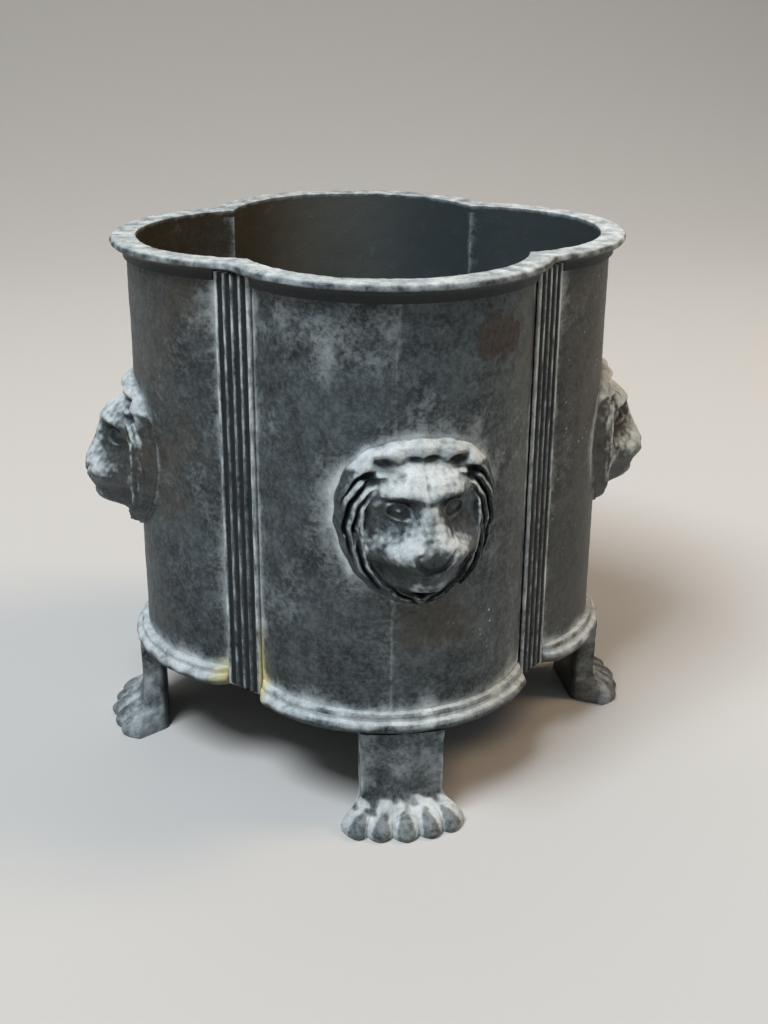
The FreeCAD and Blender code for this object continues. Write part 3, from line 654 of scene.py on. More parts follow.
def lockHeight(across, up, lock):
    # one rounded lock with fine strands, thinner towards its tip
    first, last, start, end, halfWidth, top = lock
    steps = lockShape["steps"]
    path = []
    for t in np.arange(steps + 1) / steps:
        reach = start + (end - start) * math.sin(t * math.pi / 2)
        path.append(outlinePlace(first + (last - first) * t, reach))
    gap = np.full(across.shape, 9.0)
    along = np.zeros(across.shape)
    sideways = np.zeros(across.shape)
    for index, (a, b) in enumerate(zip(path, path[1:])):
        runAcross, runUp = b[0] - a[0], b[1] - a[1]
        length = runAcross**2 + runUp**2
        t = np.clip(((across - a[0]) * runAcross + (up - a[1]) * runUp) / length, 0, 1)
        offAcross, offUp = across - a[0] - t * runAcross, up - a[1] - t * runUp
        distance = offAcross**2 + offUp**2
        near = distance < gap
        gap = np.where(near, distance, gap)
        along = np.where(near, (index + t) / steps, along)
        sideways = np.where(near, (runAcross * offUp - runUp * offAcross) / math.sqrt(length), sideways)
    width = halfWidth * (1 - lockShape["taper"] * along**3)
    wave = np.cos(2 * math.pi * sideways / (halfWidth * lockShape["strandWidth"]))
    strands = lockShape["strand"] * wave * ease(along, 0.03, 0.15)
    return top * (1 - lockShape["tipFall"] * along**4) + strands - lockShape["sideFall"] * gap / width**2


def maneHeight(across, up):
    shape = maneShape
    height = np.full(across.shape, shape["base"])
    for lock in maneLocks:
        height = blendMax(height, lockHeight(across, up, lock), lockShape["fillet"])
    for degrees, distance, halfAcross, halfUp, top in maneCurls:
        place, level = outlinePlace(degrees, distance)
        curl = top - shape["curlFall"] * spot(across, up, place, level, halfAcross, halfUp)
        height = blendMax(height, curl, shape["curlFillet"])
    # a ridge along the edge of the face
    ridge = shape["ridge"] * np.clip((0.62 - np.abs(up + 0.06)) / 0.35, 0, 1)
    fromRidge = (across / sectionValue(up, 4) - shape["ridgePlace"]) / shape["ridgeHalf"]
    return blendMax(height, ridge - shape["ridgeFall"] * fromRidge**2, shape["ridgeFillet"])


def dimpleSpots(across, up):
    # depth of each dimple under the fringe, and how far inside it a place lies
    for degrees, distance, halfAcross, halfUp, depth in curlDimples:
        place, level = outlinePlace(degrees, distance)
        yield depth, np.exp(-spot(np.abs(across), up, place, level, halfAcross, halfUp)**1.5)


def lionHeight(across, up):
    # height above the wall, as a share of the mask's depth
    wallFall = plan["wallRadius"] - np.sqrt(plan["wallRadius"]**2 - (across * maskShape["width"] / 2)**2)
    across = np.abs(across)
    radius = np.hypot(across, up) / outlineSize(np.arctan2(up, across))
    mane = maneHeight(across, up) - 2 * np.maximum(0.58 - radius, 0)
    face = faceHeight(across, up) + wallFall / maskShape["depth"]
    face = face - maskShape["faceFall"] * np.maximum(across / sectionValue(up, 4) - 1, 0)
    height = blendMax(face, mane, 0.03)
    for depth, share in dimpleSpots(across, up):
        height = height + depth * share
    edge = maskShape["edge"] / maskShape["depth"]
    rimmed = edge + (height - edge) * np.sqrt(np.clip((1 - radius) / 0.06, 0, 1))
    return np.maximum(np.where(radius > 0.94, rimmed, height), edge)


def maskPoints(across, up, height):
    # places in the lobe along +X
    y = across * maskShape["width"] / 2
    x = plan["lobeOffset"] + np.sqrt(plan["wallRadius"]**2 - y**2) + height * maskShape["depth"]
    return np.stack([x, y, maskShape["centre"] + up * maskShape["height"] / 2], -1)


def blurred(field, cell, reach):
    # field smoothed over a distance
    rows, columns = field.shape
    waveRow = np.fft.fftfreq(rows, cell)[:, None]
    waveColumn = np.fft.rfftfreq(columns, cell)[None, :]
    gain = np.exp(-2 * (math.pi * reach)**2 * (waveRow**2 + waveColumn**2))
    return np.fft.irfft2(np.fft.rfft2(field) * gain, s=field.shape)


def sampled(field, across, up, reach):
    # bilinear reading of a square field
    size = field.shape[0] - 1
    column = np.clip((across / reach + 1) / 2 * size, 0, size - 1e-6)
    row = np.clip((up / reach + 1) / 2 * size, 0, size - 1e-6)
    i, j = row.astype(int), column.astype(int)
    s, t = row - i, column - j
    return ((1 - s) * ((1 - t) * field[i, j] + t * field[i, j + 1])
            + s * ((1 - t) * field[i + 1, j] + t * field[i + 1, j + 1]))


def maskWear():
    # how far each place stands out from what is near and from what is around, and how far it faces up
    reach, size = 1.06, 360
    line = np.linspace(-reach, reach, size)
    across, up = np.meshgrid(line, line)
    radius = np.hypot(across, up) / outlineSize(np.arctan2(up, np.abs(across)))
    height = np.where(radius < 1, lionHeight(across, up), 0) * maskShape["depth"]
    cell = reach * maskShape["width"] / (size - 1)
    proud = (height - blurred(height, cell, 2.2 * mm)) / (1.2 * mm)
    broad = (height - blurred(height, cell, 7 * mm)) / (5 * mm)
    slopeUp = -np.gradient(blurred(height, cell, 0.5 * mm), axis=0) / cell
    slopeAcross = np.gradient(blurred(height, cell, 0.5 * mm), axis=1) / cell
    skyward = slopeUp / np.sqrt(1 + slopeUp**2 + slopeAcross**2)
    return proud, broad, skyward, reach


def maskRings(shares):
    # rings inside the mask's outline, as share of the outline, place across and level
    angles = np.linspace(0, 2 * math.pi, maskShape["spokes"], endpoint=False)
    radius, angle = np.meshgrid(shares, angles, indexing="ij")
    reach = radius * outlineSize(np.where(np.cos(angle) < 0, math.pi - angle, angle))
    return radius, reach * np.cos(angle), reach * np.sin(angle)


def makeMasks():
    spokes = maskShape["spokes"]
    radius, across, up = maskRings(np.linspace(0.004, 1, maskShape["rings"])[::-1])
    front = maskPoints(across, up, lionHeight(across, up))
    backAcross, backUp = maskRings(np.linspace(0.05, 1, maskShape["backRings"]))[1:]
    back = maskPoints(backAcross, backUp, np.full_like(backUp, maskShape["seat"] / maskShape["depth"]))
    points = np.concatenate([back, front])
    rows = len(points)
    faces = gridFaces(rows, spokes)
    faces.append(list(range(spokes))[::-1])
    faces.append([(rows - 1) * spokes + index for index in range(spokes)])
    *fields, fieldReach = maskWear()
    proud, broad, skyward = (sampled(field, across, up, fieldReach) for field in fields)
    fringe = ease(up, 0.60, 0.72)
    dimples = sum(share for depth, share in dimpleSpots(across, up))
    proudness = np.clip(proud, fringe - 1, 1) * (1 - ease(radius, 0.90, 0.96))
    paint = maskPaint
    bloom = paint["chalk"] + paint["skyward"] * ease(skyward, 0.0, 0.85) + paint["proud"] * proudness
    bloom = bloom + paint["broad"] * np.clip(broad, -1, 1)
    bloom = bloom - paint["underside"] * ease(-skyward, 0.0, 0.5) * (1 - fringe) + paint["fringe"] * fringe
    bloom = bloom + 0.10 * ripple(front, 4 * mm, 23) + 0.07 * ripple(front, 10 * mm, 24)
    # painted shade below the nose down to a lip made paler by chalk and a painted highlight; painted shade
    # darkens the right of the face and the beard
    share = np.abs(across) / lipShape["half"]
    line = lipShape["level"] + np.where(across > 0, lipShape["rise"], -0.04) * share**2
    mouthWidth = 1 - ease(share, 0.8, 1.25)
    noseLine = -0.10 - 0.40 * np.abs(across)
    # painted shade under the muzzle and in the open mouth
    muzzleShade = ease(noseLine - up, -0.03, 0.06) * ease(up - line, -0.14, 0.06)
    muzzleShade = muzzleShade * (1 - ease(np.abs(across), 0.36, 0.60))
    # chalk on the raised lip with a painted highlight, stronger towards the right
    lip = np.exp(-((up - line - 0.005) / 0.028)**2) * mouthWidth * ease(across, -0.12, 0.12)
    # painted shade over the right of the face, less in the fringe
    shaded = ease(across, 0.02, 0.36) * (1 - 0.5 * fringe)
    # painted shade low down on the beard
    beardShade = ease(-up, 0.42, 0.75)
    eyes = np.sqrt(spot(np.abs(across), up, *eyeShape["place"], *eyeShape["half"]))
    beside = np.abs(across) / sectionValue(up, 4)
    mane = ease(beside, 0.98, 1.10) * (1 - fringe)
    faceEdge = np.exp(-((beside - 1.03) / 0.045)**2) * (1 - ease(np.abs(up + 0.06), 0.40, 0.62))
    bloom = bloom - paint["mouth"] * muzzleShade + paint["lip"] * lip + paint["faceEdge"] * faceEdge
    bloom = bloom - paint["mane"] * mane - paint["paintedRightShade"] * shaded - paint["beardShade"] * beardShade
    # chalk on the raised pupil with a painted highlight
    bloom = bloom + paint["pupil"] * np.exp(-(eyes / 0.30)**2)
    # painted shade in the hollows, on faces turned down, in the dimples, round the eyes and in the mouth
    shadeAndGrime = ease(-proud, 0.18, 0.9) * (0.80 + 0.20 * mane)
    shadeAndGrime = shadeAndGrime + (0.14 + 0.16 * mane) * ease(-skyward, 0.15, 0.7)
    shadeAndGrime = shadeAndGrime * (1 - ease(radius, 0.90, 0.96)) * (1 - fringe) + 0.8 * dimples
    shadeAndGrime = shadeAndGrime + 0.6 * (1 - ease(eyes, 0.75, 0.95)) * ease(eyes, 0.25, 0.45) + 0.4 * muzzleShade
    hidden = np.zeros(back.shape[:2])
    values = {"bloom": np.concatenate([hidden + paint["rim"], bloom]),
              "shadeAndGrime": np.concatenate([hidden, shadeAndGrime])}
    grit = ripple(points, 5 * mm, 21) * 0.10 * mm + ripple(points, 2 * mm, 22) * 0.05 * mm
    grit[:maskShape["backRings"]] = 0
    points = points + np.stack([grit - 0.15 * mm * (grit != 0), grit * 0, grit * 0], -1)
    for quarter, side in enumerate(sides):
        placed = points
        if side == "front":
            turn = maskShape["frontShift"] / plan["wallRadius"]
            x, y = points[..., 0] - plan["lobeOffset"], points[..., 1]
            placed = np.stack([plan["lobeOffset"] + x * math.cos(turn) - y * math.sin(turn),
                               x * math.sin(turn) + y * math.cos(turn), points[..., 2]], -1)
        meshPiece(side + "LionMask", turned(placed, quarter), faces, "mask",
                  [side + "_mask"], values, 70)


makeMasks()
print("masks made")


# walls
wallShape = {
    "columns": 170,
    "rows": 190,
    "wave": 0.22 * mm,
    "pit": 0.06 * mm,
    "stripHalo": 3.2 * mm,
    "baseHalo": 5 * mm,
    "maskHalo": 3.6 * mm,
    "cornerHalo": 2.5 * mm,
    "chalk": 0.20,
    "stripChalk": 0.75,
    "baseChalk": 0.85,
    "maskChalk": 0.62,
    "cornerChalk": 0.5,
    "beadTop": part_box("base")[1].z,
}
# marks on the front wall: arc from the lobe's middle and height, then half sizes, in millimetres where bare
frontMarks = {
    "seam": ((-5.2, 305), (-7.3, 249), (-8.5, 63)),
    "seamHalf": 0.9 * mm,
    "scarPlace": (53 * mm, 276 * mm),
    "scarHalf": (17 * mm, 12 * mm),
    "palePatches": ((-42, 288, 9, 12), (-42, 262, 8, 16), (-33, 240, 9, 12), (-20, 268, 9, 24),
                    (-30, 226, 6, 6), (-76, 290, 16, 14), (-14, 240, 8, 14)),
    "speckPlaces": ((61, 213, 3, 8), (53, 122, 2.5, 12), (53, 95, 2, 12), (28, 122, 3, 3), (47, 110, 3, 3)),
}


def maskHalo(arcPlace, level, shift):
    # nearness to the outline of the mask, from 0 to 1
    across = plan["wallRadius"] * np.sin((arcPlace - shift) / plan["wallRadius"]) / (maskShape["width"] / 2)
    up = (level - maskShape["centre"]) / (maskShape["height"] / 2)
    radius = np.hypot(across, up) / outlineSize(np.arctan2(up, np.abs(across)))
    # painted light: the halo is stronger towards the top and the left
    lit = 1 + 0.5 * np.clip(up, -1, 1) - 0.4 * np.clip(across, -1, 1)
    return np.exp(-np.maximum(radius - 1, 0) * maskShape["width"] / 2 / wallShape["maskHalo"]) * lit


def makeWall(quarter, side):
    columns, rows = wallShape["columns"], wallShape["rows"]
    outer, inner = plan["wallRadius"], plan["innerRadius"]
    sweeps = [math.atan2(cusp(radius), cusp(radius) - plan["lobeOffset"]) for radius in (outer, inner)]
    outerAngles = np.linspace(-sweeps[0], sweeps[0], columns)
    innerAngles = np.linspace(sweeps[1], -sweeps[1], columns)
    angles = np.concatenate([outerAngles, innerAngles])
    radii = np.concatenate([np.full(columns, outer), np.full(columns, inner)])
    levels = np.linspace(floorLevel, rimLevel, rows)
    angle, level = np.meshgrid(angles, levels)
    radius = np.broadcast_to(radii, angle.shape).copy()
    lobe = np.stack([plan["lobeOffset"] + radius * np.cos(angle), radius * np.sin(angle), level], -1)
    world = turned(lobe, quarter)
    isOuter = radius > (outer + inner) / 2
    arcPlace = outer * angle
    shift = maskShape["frontShift"] if side == "front" else 0
    nearMask = maskHalo(arcPlace, level, shift)
    fromStrip = stripDistance(world) - plan["stripWidth"] / 2
    nearStrip = np.exp(-np.maximum(fromStrip, 0) / wallShape["stripHalo"])
    nearBase = np.exp(-np.maximum(level - wallShape["beadTop"], 0) / wallShape["baseHalo"])
    bloom = wallShape["chalk"] + wallShape["stripChalk"] * nearStrip + wallShape["baseChalk"] * nearBase
    bloom = bloom + wallShape["maskChalk"] * nearMask + 0.10 * ripple(world, 55 * mm, 31)
    bloom += 0.08 * ripple(world * np.array([1, 1, 0.35]), 18 * mm, 32)
    speck = 0.05 + 0.45 * ease(world[..., 0], 45 * mm, 95 * mm) * ease(ripple(world, 20 * mm, 39), 0.1, 1.0)
    scar = np.zeros_like(bloom)
    lift = np.zeros_like(bloom)
    if side == "front":
        seam = np.array(frontMarks["seam"])[::-1] * mm
        seamPlace = np.interp(level, seam[:, 1], seam[:, 0])
        line = np.exp(-((arcPlace - seamPlace) / frontMarks["seamHalf"])**2)
        lift += 0.14 * mm * line
        bloom += 0.20 * line + 0.10 * ease(seamPlace - arcPlace, -1 * mm, 1 * mm) * ease(level, 0.2, 0.3)
        inScar = spot(arcPlace, level, *frontMarks["scarPlace"], *frontMarks["scarHalf"])
        inScar = inScar + 0.16 * ripple(world, 9 * mm, 33)
        scar = 1 - ease(inScar, 0.82, 1.0)
        edge = np.exp(-((inScar - 0.95) / 0.13)**2)
        lift += 0.35 * mm * edge + 0.16 * mm * scar * ripple(world, 4 * mm, 34)
        bloom -= 0.15 * scar
        for mark in np.array(frontMarks["palePatches"]) * mm:
            bloom += 0.11 * np.exp(-spot(arcPlace, level, *mark))
        for mark in np.array(frontMarks["speckPlaces"]) * mm:
            speck += np.exp(-spot(arcPlace, level, *mark)**2)
    corner = np.exp(-stripDistance(world) / wallShape["cornerHalo"])
    innerBloom = wallShape["chalk"] + wallShape["cornerChalk"] * corner + 0.05 * ripple(world, 16 * mm, 35)
    bloom = np.where(isOuter, bloom, innerBloom)
    lift = np.where(isOuter, lift, 0)
    waves = ripple(world, 45 * mm, 36) * 0.6 + ripple(world, 14 * mm, 37) * 0.3
    lift += wallShape["wave"] * waves * (isOuter - 0.5)
    lift += wallShape["pit"] * ripple(world, 4 * mm, 38) * isOuter
    # ends and edges stay where they meet the strips, rim and floor
    hold = ease(stripDistance(world), 3 * mm, 12 * mm) * ease(level, floorLevel, floorLevel + 6 * mm)
    hold *= 1 - ease(level, rimLevel - 7 * mm, rimLevel)
    radius = radius + lift * hold
    lobe = np.stack([plan["lobeOffset"] + radius * np.cos(angle), radius * np.sin(angle), level], -1)
    faces = gridFaces(rows, 2 * columns)
    for row, flip in ((0, True), (rows - 1, False)):
        start = row * 2 * columns
        for column in range(columns - 1):
            across = start + 2 * columns - 1 - column
            quad = [start + column, start + column + 1, across - 1, across]
            faces.append(quad[::-1] if flip else quad)
    # the right lobe is darker low down
    shadeAndGrime = 0.5 * ease(world[..., 0], 90 * mm, 125 * mm) * (1 - ease(level, 120 * mm, 240 * mm))
    shadeAndGrime = shadeAndGrime * (1 - nearBase) * isOuter
    values = {"bloom": bloom, "shadeAndGrime": shadeAndGrime, "inside": 1.0 - isOuter, "scar": scar,
              "speck": speck * isOuter}
    meshPiece(side + "LobeWall", turned(lobe, quarter), faces, "wall",
              [side + "_wall"], values, 60)


for quarter, side in enumerate(sides):
    makeWall(quarter, side)
print("walls made")


# base: floor, upstand and the double bead round it
baseShape = {
    "drainRadius": 11 * mm,
    "seat": 0.15 * mm,
    "lowerHeight": 6.8 * mm,
    "lowerReach": 8.0 * mm,
    "upperHeight": 4.4 * mm,
    "upperReach": 4.4 * mm,
    "wear": 0.25 * mm,
    "taper": 7 * mm,
    "arcSteps": 11,
}


def makeBase():
    low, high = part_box("base")
    bottom, top = low.z, high.z
    wall = plan["wallRadius"]
    lower, upper = baseShape["lowerHeight"] / 2, baseShape["upperHeight"] / 2
    steps = baseShape["arcSteps"]
    section = arc(wall + baseShape["lowerReach"] - lower, bottom + lower, lower, -90, 90, steps)
    section += arc(wall + baseShape["upperReach"] - upper, top - upper, upper, -25, 90, steps)
    section += [(wall + baseShape["seat"], top), (wall + baseShape["seat"], floorLevel)]
    loops = [planLoop(radius, plan["sharpCorner"], level) for radius, level in section]
    edgeCount = len(loops)
    # flat floor, from the seat in to the drain hole and back out underneath
    angles = np.arctan2(loops[0][:, 1], loops[0][:, 0])
    for level, shares in ((floorLevel, (0.97, 0.75, 0.5, 0.25, 0)), (bottom, (0, 0.25, 0.5, 0.75, 0.96))):
        rimLoop = planLoop(wall, plan["sharpCorner"], level)
        drain = np.stack([np.cos(angles), np.sin(angles)], -1) * baseShape["drainRadius"]
        for share in shares:
            loop = rimLoop.copy()
            loop[:, :2] = drain + (rimLoop[:, :2] - drain) * share
            loops.append(loop)
    points = np.stack(loops)
    # the beads stop at the corner strips
    inStrip = stripDistance(points) < plan["stripWidth"] / 2 + plan["stripGap"]
    inStrip[edgeCount:] = False
    away = outward(points)
    flat = planLoop(wall, plan["sharpCorner"], 0)
    for index in range(edgeCount):
        points[index, :, :2] = np.where(inStrip[index, :, None], flat[:, :2], points[index, :, :2])
    points[..., 2] = np.where(inStrip, np.minimum(points[..., 2], floorLevel), points[..., 2])
    taper = 0.35 + 0.65 * ease(stripDistance(points) - plan["stripWidth"] / 2, 0, baseShape["taper"])
    for index in range(edgeCount):
        points[index, :, :2] = flat[:, :2] + (points[index, :, :2] - flat[:, :2]) * taper[index, :, None]
    onBead = np.zeros(points.shape[:2])
    onBead[:2 * steps] = 1
    onBead *= ~inStrip
    dent = ripple(points, 22 * mm, 41) * 0.5 + ripple(points, 7 * mm, 42) * 0.4
    dent += ripple(points, 3 * mm, 43) * 0.3
    points = points + away * (baseShape["wear"] * dent * onBead)[..., None]
    # chalk on the upper half of the beads and in the grooves above them
    bead = np.linspace(-1, 1, steps)
    turnShare = np.concatenate([bead, bead, np.zeros(len(loops) - 2 * steps)])
    skyward = ease(turnShare, -0.55, 0.35)[:, None]
    skyward[steps:2 * steps] = 1
    leftward = ease(-points[..., 0], -20 * mm, 110 * mm)
    bloom = onBead * (0.08 + (0.66 + 0.26 * leftward) * skyward + 0.12 * ripple(points, 16 * mm, 44))
    groove = np.zeros(len(loops))
    groove[steps - 3:steps + 2] = 0.85
    groove[2 * steps - 3:2 * steps + 1] = 0.95
    bloom = np.maximum(bloom + groove[:, None] * onBead, groove[:, None] * ~inStrip)
    inside = np.zeros(points.shape[:2])
    inside[2 * steps + 1:edgeCount + 5] = 1
    rows, columns = points.shape[:2]
    # painted shade on the underside and on the bottom edge of the lower bead
    undersideShade = np.zeros(points.shape[:2])
    undersideShade[edgeCount + 5:] = 1
    undersideShade[0] = 1
    meshPiece("base", points, gridFaces(rows, columns, True), "base", ["base"],
              {"bloom": bloom, "inside": inside, "shadeAndGrime": undersideShade}, 50)


makeBase()
print("base made")


# feet: a straight leg, a low paw with five toes, and a fixing lug under the floor
footShape = {
    "height": 58 * mm,
    "legWidth": 48 * mm,
    "legThickness": 15.5 * mm,
    "legProjection": 6.5 * mm,
    "legCrown": 1.2 * mm,
    "pawWidth": 71 * mm,
    "pawProjection": 20.7 * mm,
    "frontShift": -2.5 * mm,
    "lugLength": 28 * mm,
    "lugWidth": 34 * mm,
    "lugThickness": 6 * mm,
    "lugHole": 4.4 * mm,
    "lugHoleSetback": 13 * mm,
    "lugRoundSteps": 40,
    "lugSideSteps": 12,
    "backCorner": 2.5 * mm,
    "toeRoundness": 0.92,
    "padTurn": 0.16,
    "padHalf": 0.74,
    "padLevel": 4.5 * mm,
    "padHeight": 9.0 * mm,
    "rows": 110,
    "rowCrowding": 1.45,
    "toeSteps": 34,
    "backSteps": 36,
}
# height share, how far the paw stands out, depth of the toes, leg width
footLevels = np.array((
    (0.00, 0.93, 0.90, 1.02),
    (0.05, 1.00, 1.00, 1.015),
    (0.11, 0.93, 1.00, 1.01),
    (0.16, 0.76, 0.95, 1.00),
    (0.205, 0.50, 0.85, 1.00),
    (0.25, 0.22, 0.70, 0.99),
    (0.30, 0.05, 0.60, 0.98),
    (0.36, 0.00, 0.60, 0.98),
    (0.70, 0.00, 0.60, 0.98),
    (1.00, 0.00, 0.60, 1.00),
))
# place on the leg, place on the paw, how far forward
toeTips = ((-0.8, -0.81, 0.68), (-0.4, -0.43, 0.90), (0.0, 0.0, 1.0), (0.4, 0.43, 0.90), (0.8, 0.81, 0.68))
toeValleys = ((-1.0, -1.0, 0.15), (-0.6, -0.62, 0.54), (-0.2, -0.215, 0.68),
              (0.2, 0.215, 0.68), (0.6, 0.62, 0.54), (1.0, 1.0, 0.15))
# how much chalk each foot kept
footChalk = {"front": 1.0, "left": 0.34, "right": 0.40, "back": 0.6}
legChalk = {"front": 0.44, "left": 0.54, "right": 0.40, "back": 0.42}


def lugMesh(legBack, start):
    # plate with a round end and a bolt hole
    s = footShape
    half = s["lugWidth"] / 2
    turn = np.linspace(0.5 * math.pi, 1.5 * math.pi, s["lugRoundSteps"])
    roundEnd = legBack - s["lugLength"] + half + half * np.cos(turn)
    x = np.concatenate([roundEnd, np.full(s["lugSideSteps"], legBack + 1 * mm)])
    y = np.concatenate([half * np.sin(turn), np.linspace(-half, half, s["lugSideSteps"])])
    holeX = legBack - s["lugHoleSetback"]
    angle = np.arctan2(y, x - holeX)
    top, bottom = s["height"] - 0.02 * mm, s["height"] - s["lugThickness"]
    outer = (x, y)
    hole = (holeX + s["lugHole"] * np.cos(angle), s["lugHole"] * np.sin(angle))
    loops = [np.stack([loop[0], loop[1], np.full(len(x), level)], -1)
             for loop, level in ((outer, bottom), (outer, top), (hole, top), (hole, bottom))]
    return np.concatenate(loops), gridFaces(4, len(x), True, start)


def makeFoot(quarter, side):
    s = footShape
    legFront = plan["lobeOffset"] + plan["wallRadius"] + s["legProjection"]
    legBack = legFront - s["legThickness"]
    share = np.linspace(0, 1, s["rows"])**s["rowCrowding"]
    height = share * s["height"]
    paw, cut, width = (curveThrough(footLevels, column, share) for column in (1, 2, 3))
    paw = np.maximum(paw, 0)
    half = s["legWidth"] / 2 * width

    def frontPoint(shares):
        onLeg, onPaw, forward = shares
        across = onLeg * half + paw * (onPaw * s["pawWidth"] / 2 - onLeg * half)
        legOut = legFront - s["legCrown"] * onLeg**2
        out = legOut + paw * (legFront + forward * s["pawProjection"] - legOut)
        return np.stack([out, across, height], -1)

    valleys = [frontPoint(shares) for shares in toeValleys]
    place = (1 - np.cos(np.linspace(0, math.pi, s["toeSteps"], endpoint=False))) / 2
    columns = []
    ovals = []
    for shares, left, right in zip(toeTips, valleys, valleys[1:]):
        rise = (frontPoint(shares) - (left + right) / 2) * cut[:, None]
        for t in place:
            columns.append(left + (right - left) * t + rise * max(1 - (2 * t - 1)**2, 0)**s["toeRoundness"])
            padAcross = (2 * t - 1 + s["padTurn"] * shares[0]) / s["padHalf"]
            ovals.append(padAcross**2 + (np.maximum(height - s["padLevel"], 0) / s["padHeight"])**2)
    columns.append(valleys[-1])
    ovals.append(np.full(len(share), 9.0))
    front = np.stack(columns, axis=1)
    # round the sides to a flat back
    backHalf = half - s["backCorner"]
    legSide = legBack + s["backCorner"]
    stops = [valleys[-1]]
    for out, across in ((legSide, half), (legBack, backHalf), (legBack, -backHalf), (legSide, -half)):
        stops.append(np.stack([np.full(len(share), out), across * np.ones(len(share)), height], -1))
    stops.append(valleys[0])
    t = np.linspace(0, len(stops) - 1, s["backSteps"] + 2)[1:-1]
    rest = []
    for value in t:
        index = min(int(value), len(stops) - 2)
        rest.append(stops[index] + (stops[index + 1] - stops[index]) * (value - index))
    points = np.concatenate([front, np.stack(rest, axis=1)], axis=1)
    rows, count = points.shape[:2]
    faces = gridFaces(rows, count)
    faces.append(list(range(count))[::-1])
    faces.append([(rows - 1) * count + index for index in range(count)])
    away = points - np.array([legBack + 4 * mm, 0, 0])
    away[..., 2] = 0
    away /= np.linalg.norm(away, axis=-1, keepdims=True)
    hold = ease(points[..., 2], 0.4 * mm, 3 * mm)
    dent = ripple(points, 18 * mm, 51 + quarter) * 0.20 + ripple(points, 5 * mm, 55 + quarter) * 0.09
    points = points + away * ((dent - 0.42) * mm * hold)[..., None]
    # chalk lies between the toes, on the instep above them and up the leg's edges
    oval = np.full(points.shape[:2], 9.0)
    oval[:, :front.shape[1]] = np.stack(ovals, axis=1)
    pad = 1 - ease(oval + 0.06 * ripple(points, 3 * mm, 65 + quarter), 0.65, 1.15)
    height = points[..., 2]
    instep = 1 - ease(height + 2 * mm * ripple(points, 8 * mm, 63 + quarter), 12 * mm, 17 * mm)
    edge = ease(np.abs(points[..., 1]), 20.5 * mm, 24 * mm) * (1 - 0.7 * ease(height, 20 * mm, 50 * mm))
    edge *= ease(height, 11 * mm, 17 * mm)
    kept = footChalk[side]
    bloom = legChalk[side] + kept * (0.66 * instep * (1 - pad) + 0.13 * instep * pad + 0.45 * edge)
    bloom += 0.10 * ripple(points, 14 * mm, 61 + quarter) * (1 - instep)
    # painted shade on the back of the leg; the lug under the floor is darkened as well
    shadeAndGrime = ease(legBack + 5 * mm - points[..., 0], 0, 4 * mm) * 0.95
    lug, lugFaces = lugMesh(legBack, points.shape[0] * points.shape[1])
    bloom = np.concatenate([bloom.ravel(), np.full(len(lug), 0.15)])
    shadeAndGrime = np.concatenate([shadeAndGrime.ravel(), np.full(len(lug), 0.7)])
    points = np.concatenate([points.reshape(-1, 3), lug])
    shift = s["frontShift"] if side == "front" else 0
    points = points + np.array([0, shift, 0])
    values = {"bloom": bloom, "shadeAndGrime": shadeAndGrime, "speck": np.full_like(bloom, 0.08)}
    meshPiece(side + "PawFoot", turned(points, quarter), faces + lugFaces, "foot",
              [side + "_foot"], values, 60)


for quarter, side in enumerate(sides):
    makeFoot(quarter, side)
print("feet made")


# reeded corner strips, by geometry nodes
stripShape = {
    "width": 25 * mm,
    "pitch": 5.5 * mm,
    "reedHalf": 1.5 * mm,
    "reedHeight": 1.5 * mm,
    "edgeThickness": 1.2 * mm,
    "wander": 0.16 * mm,
    "columns": 150,
    "rows": 150,
    "frontShare": 0.8,
    "seat": 0.15 * mm,
    "outerReed": (8.5 * mm, 9.8 * mm),
    "border": (11.7 * mm, 12.3 * mm),
    "mergeDistance": 0.002 * mm,
}


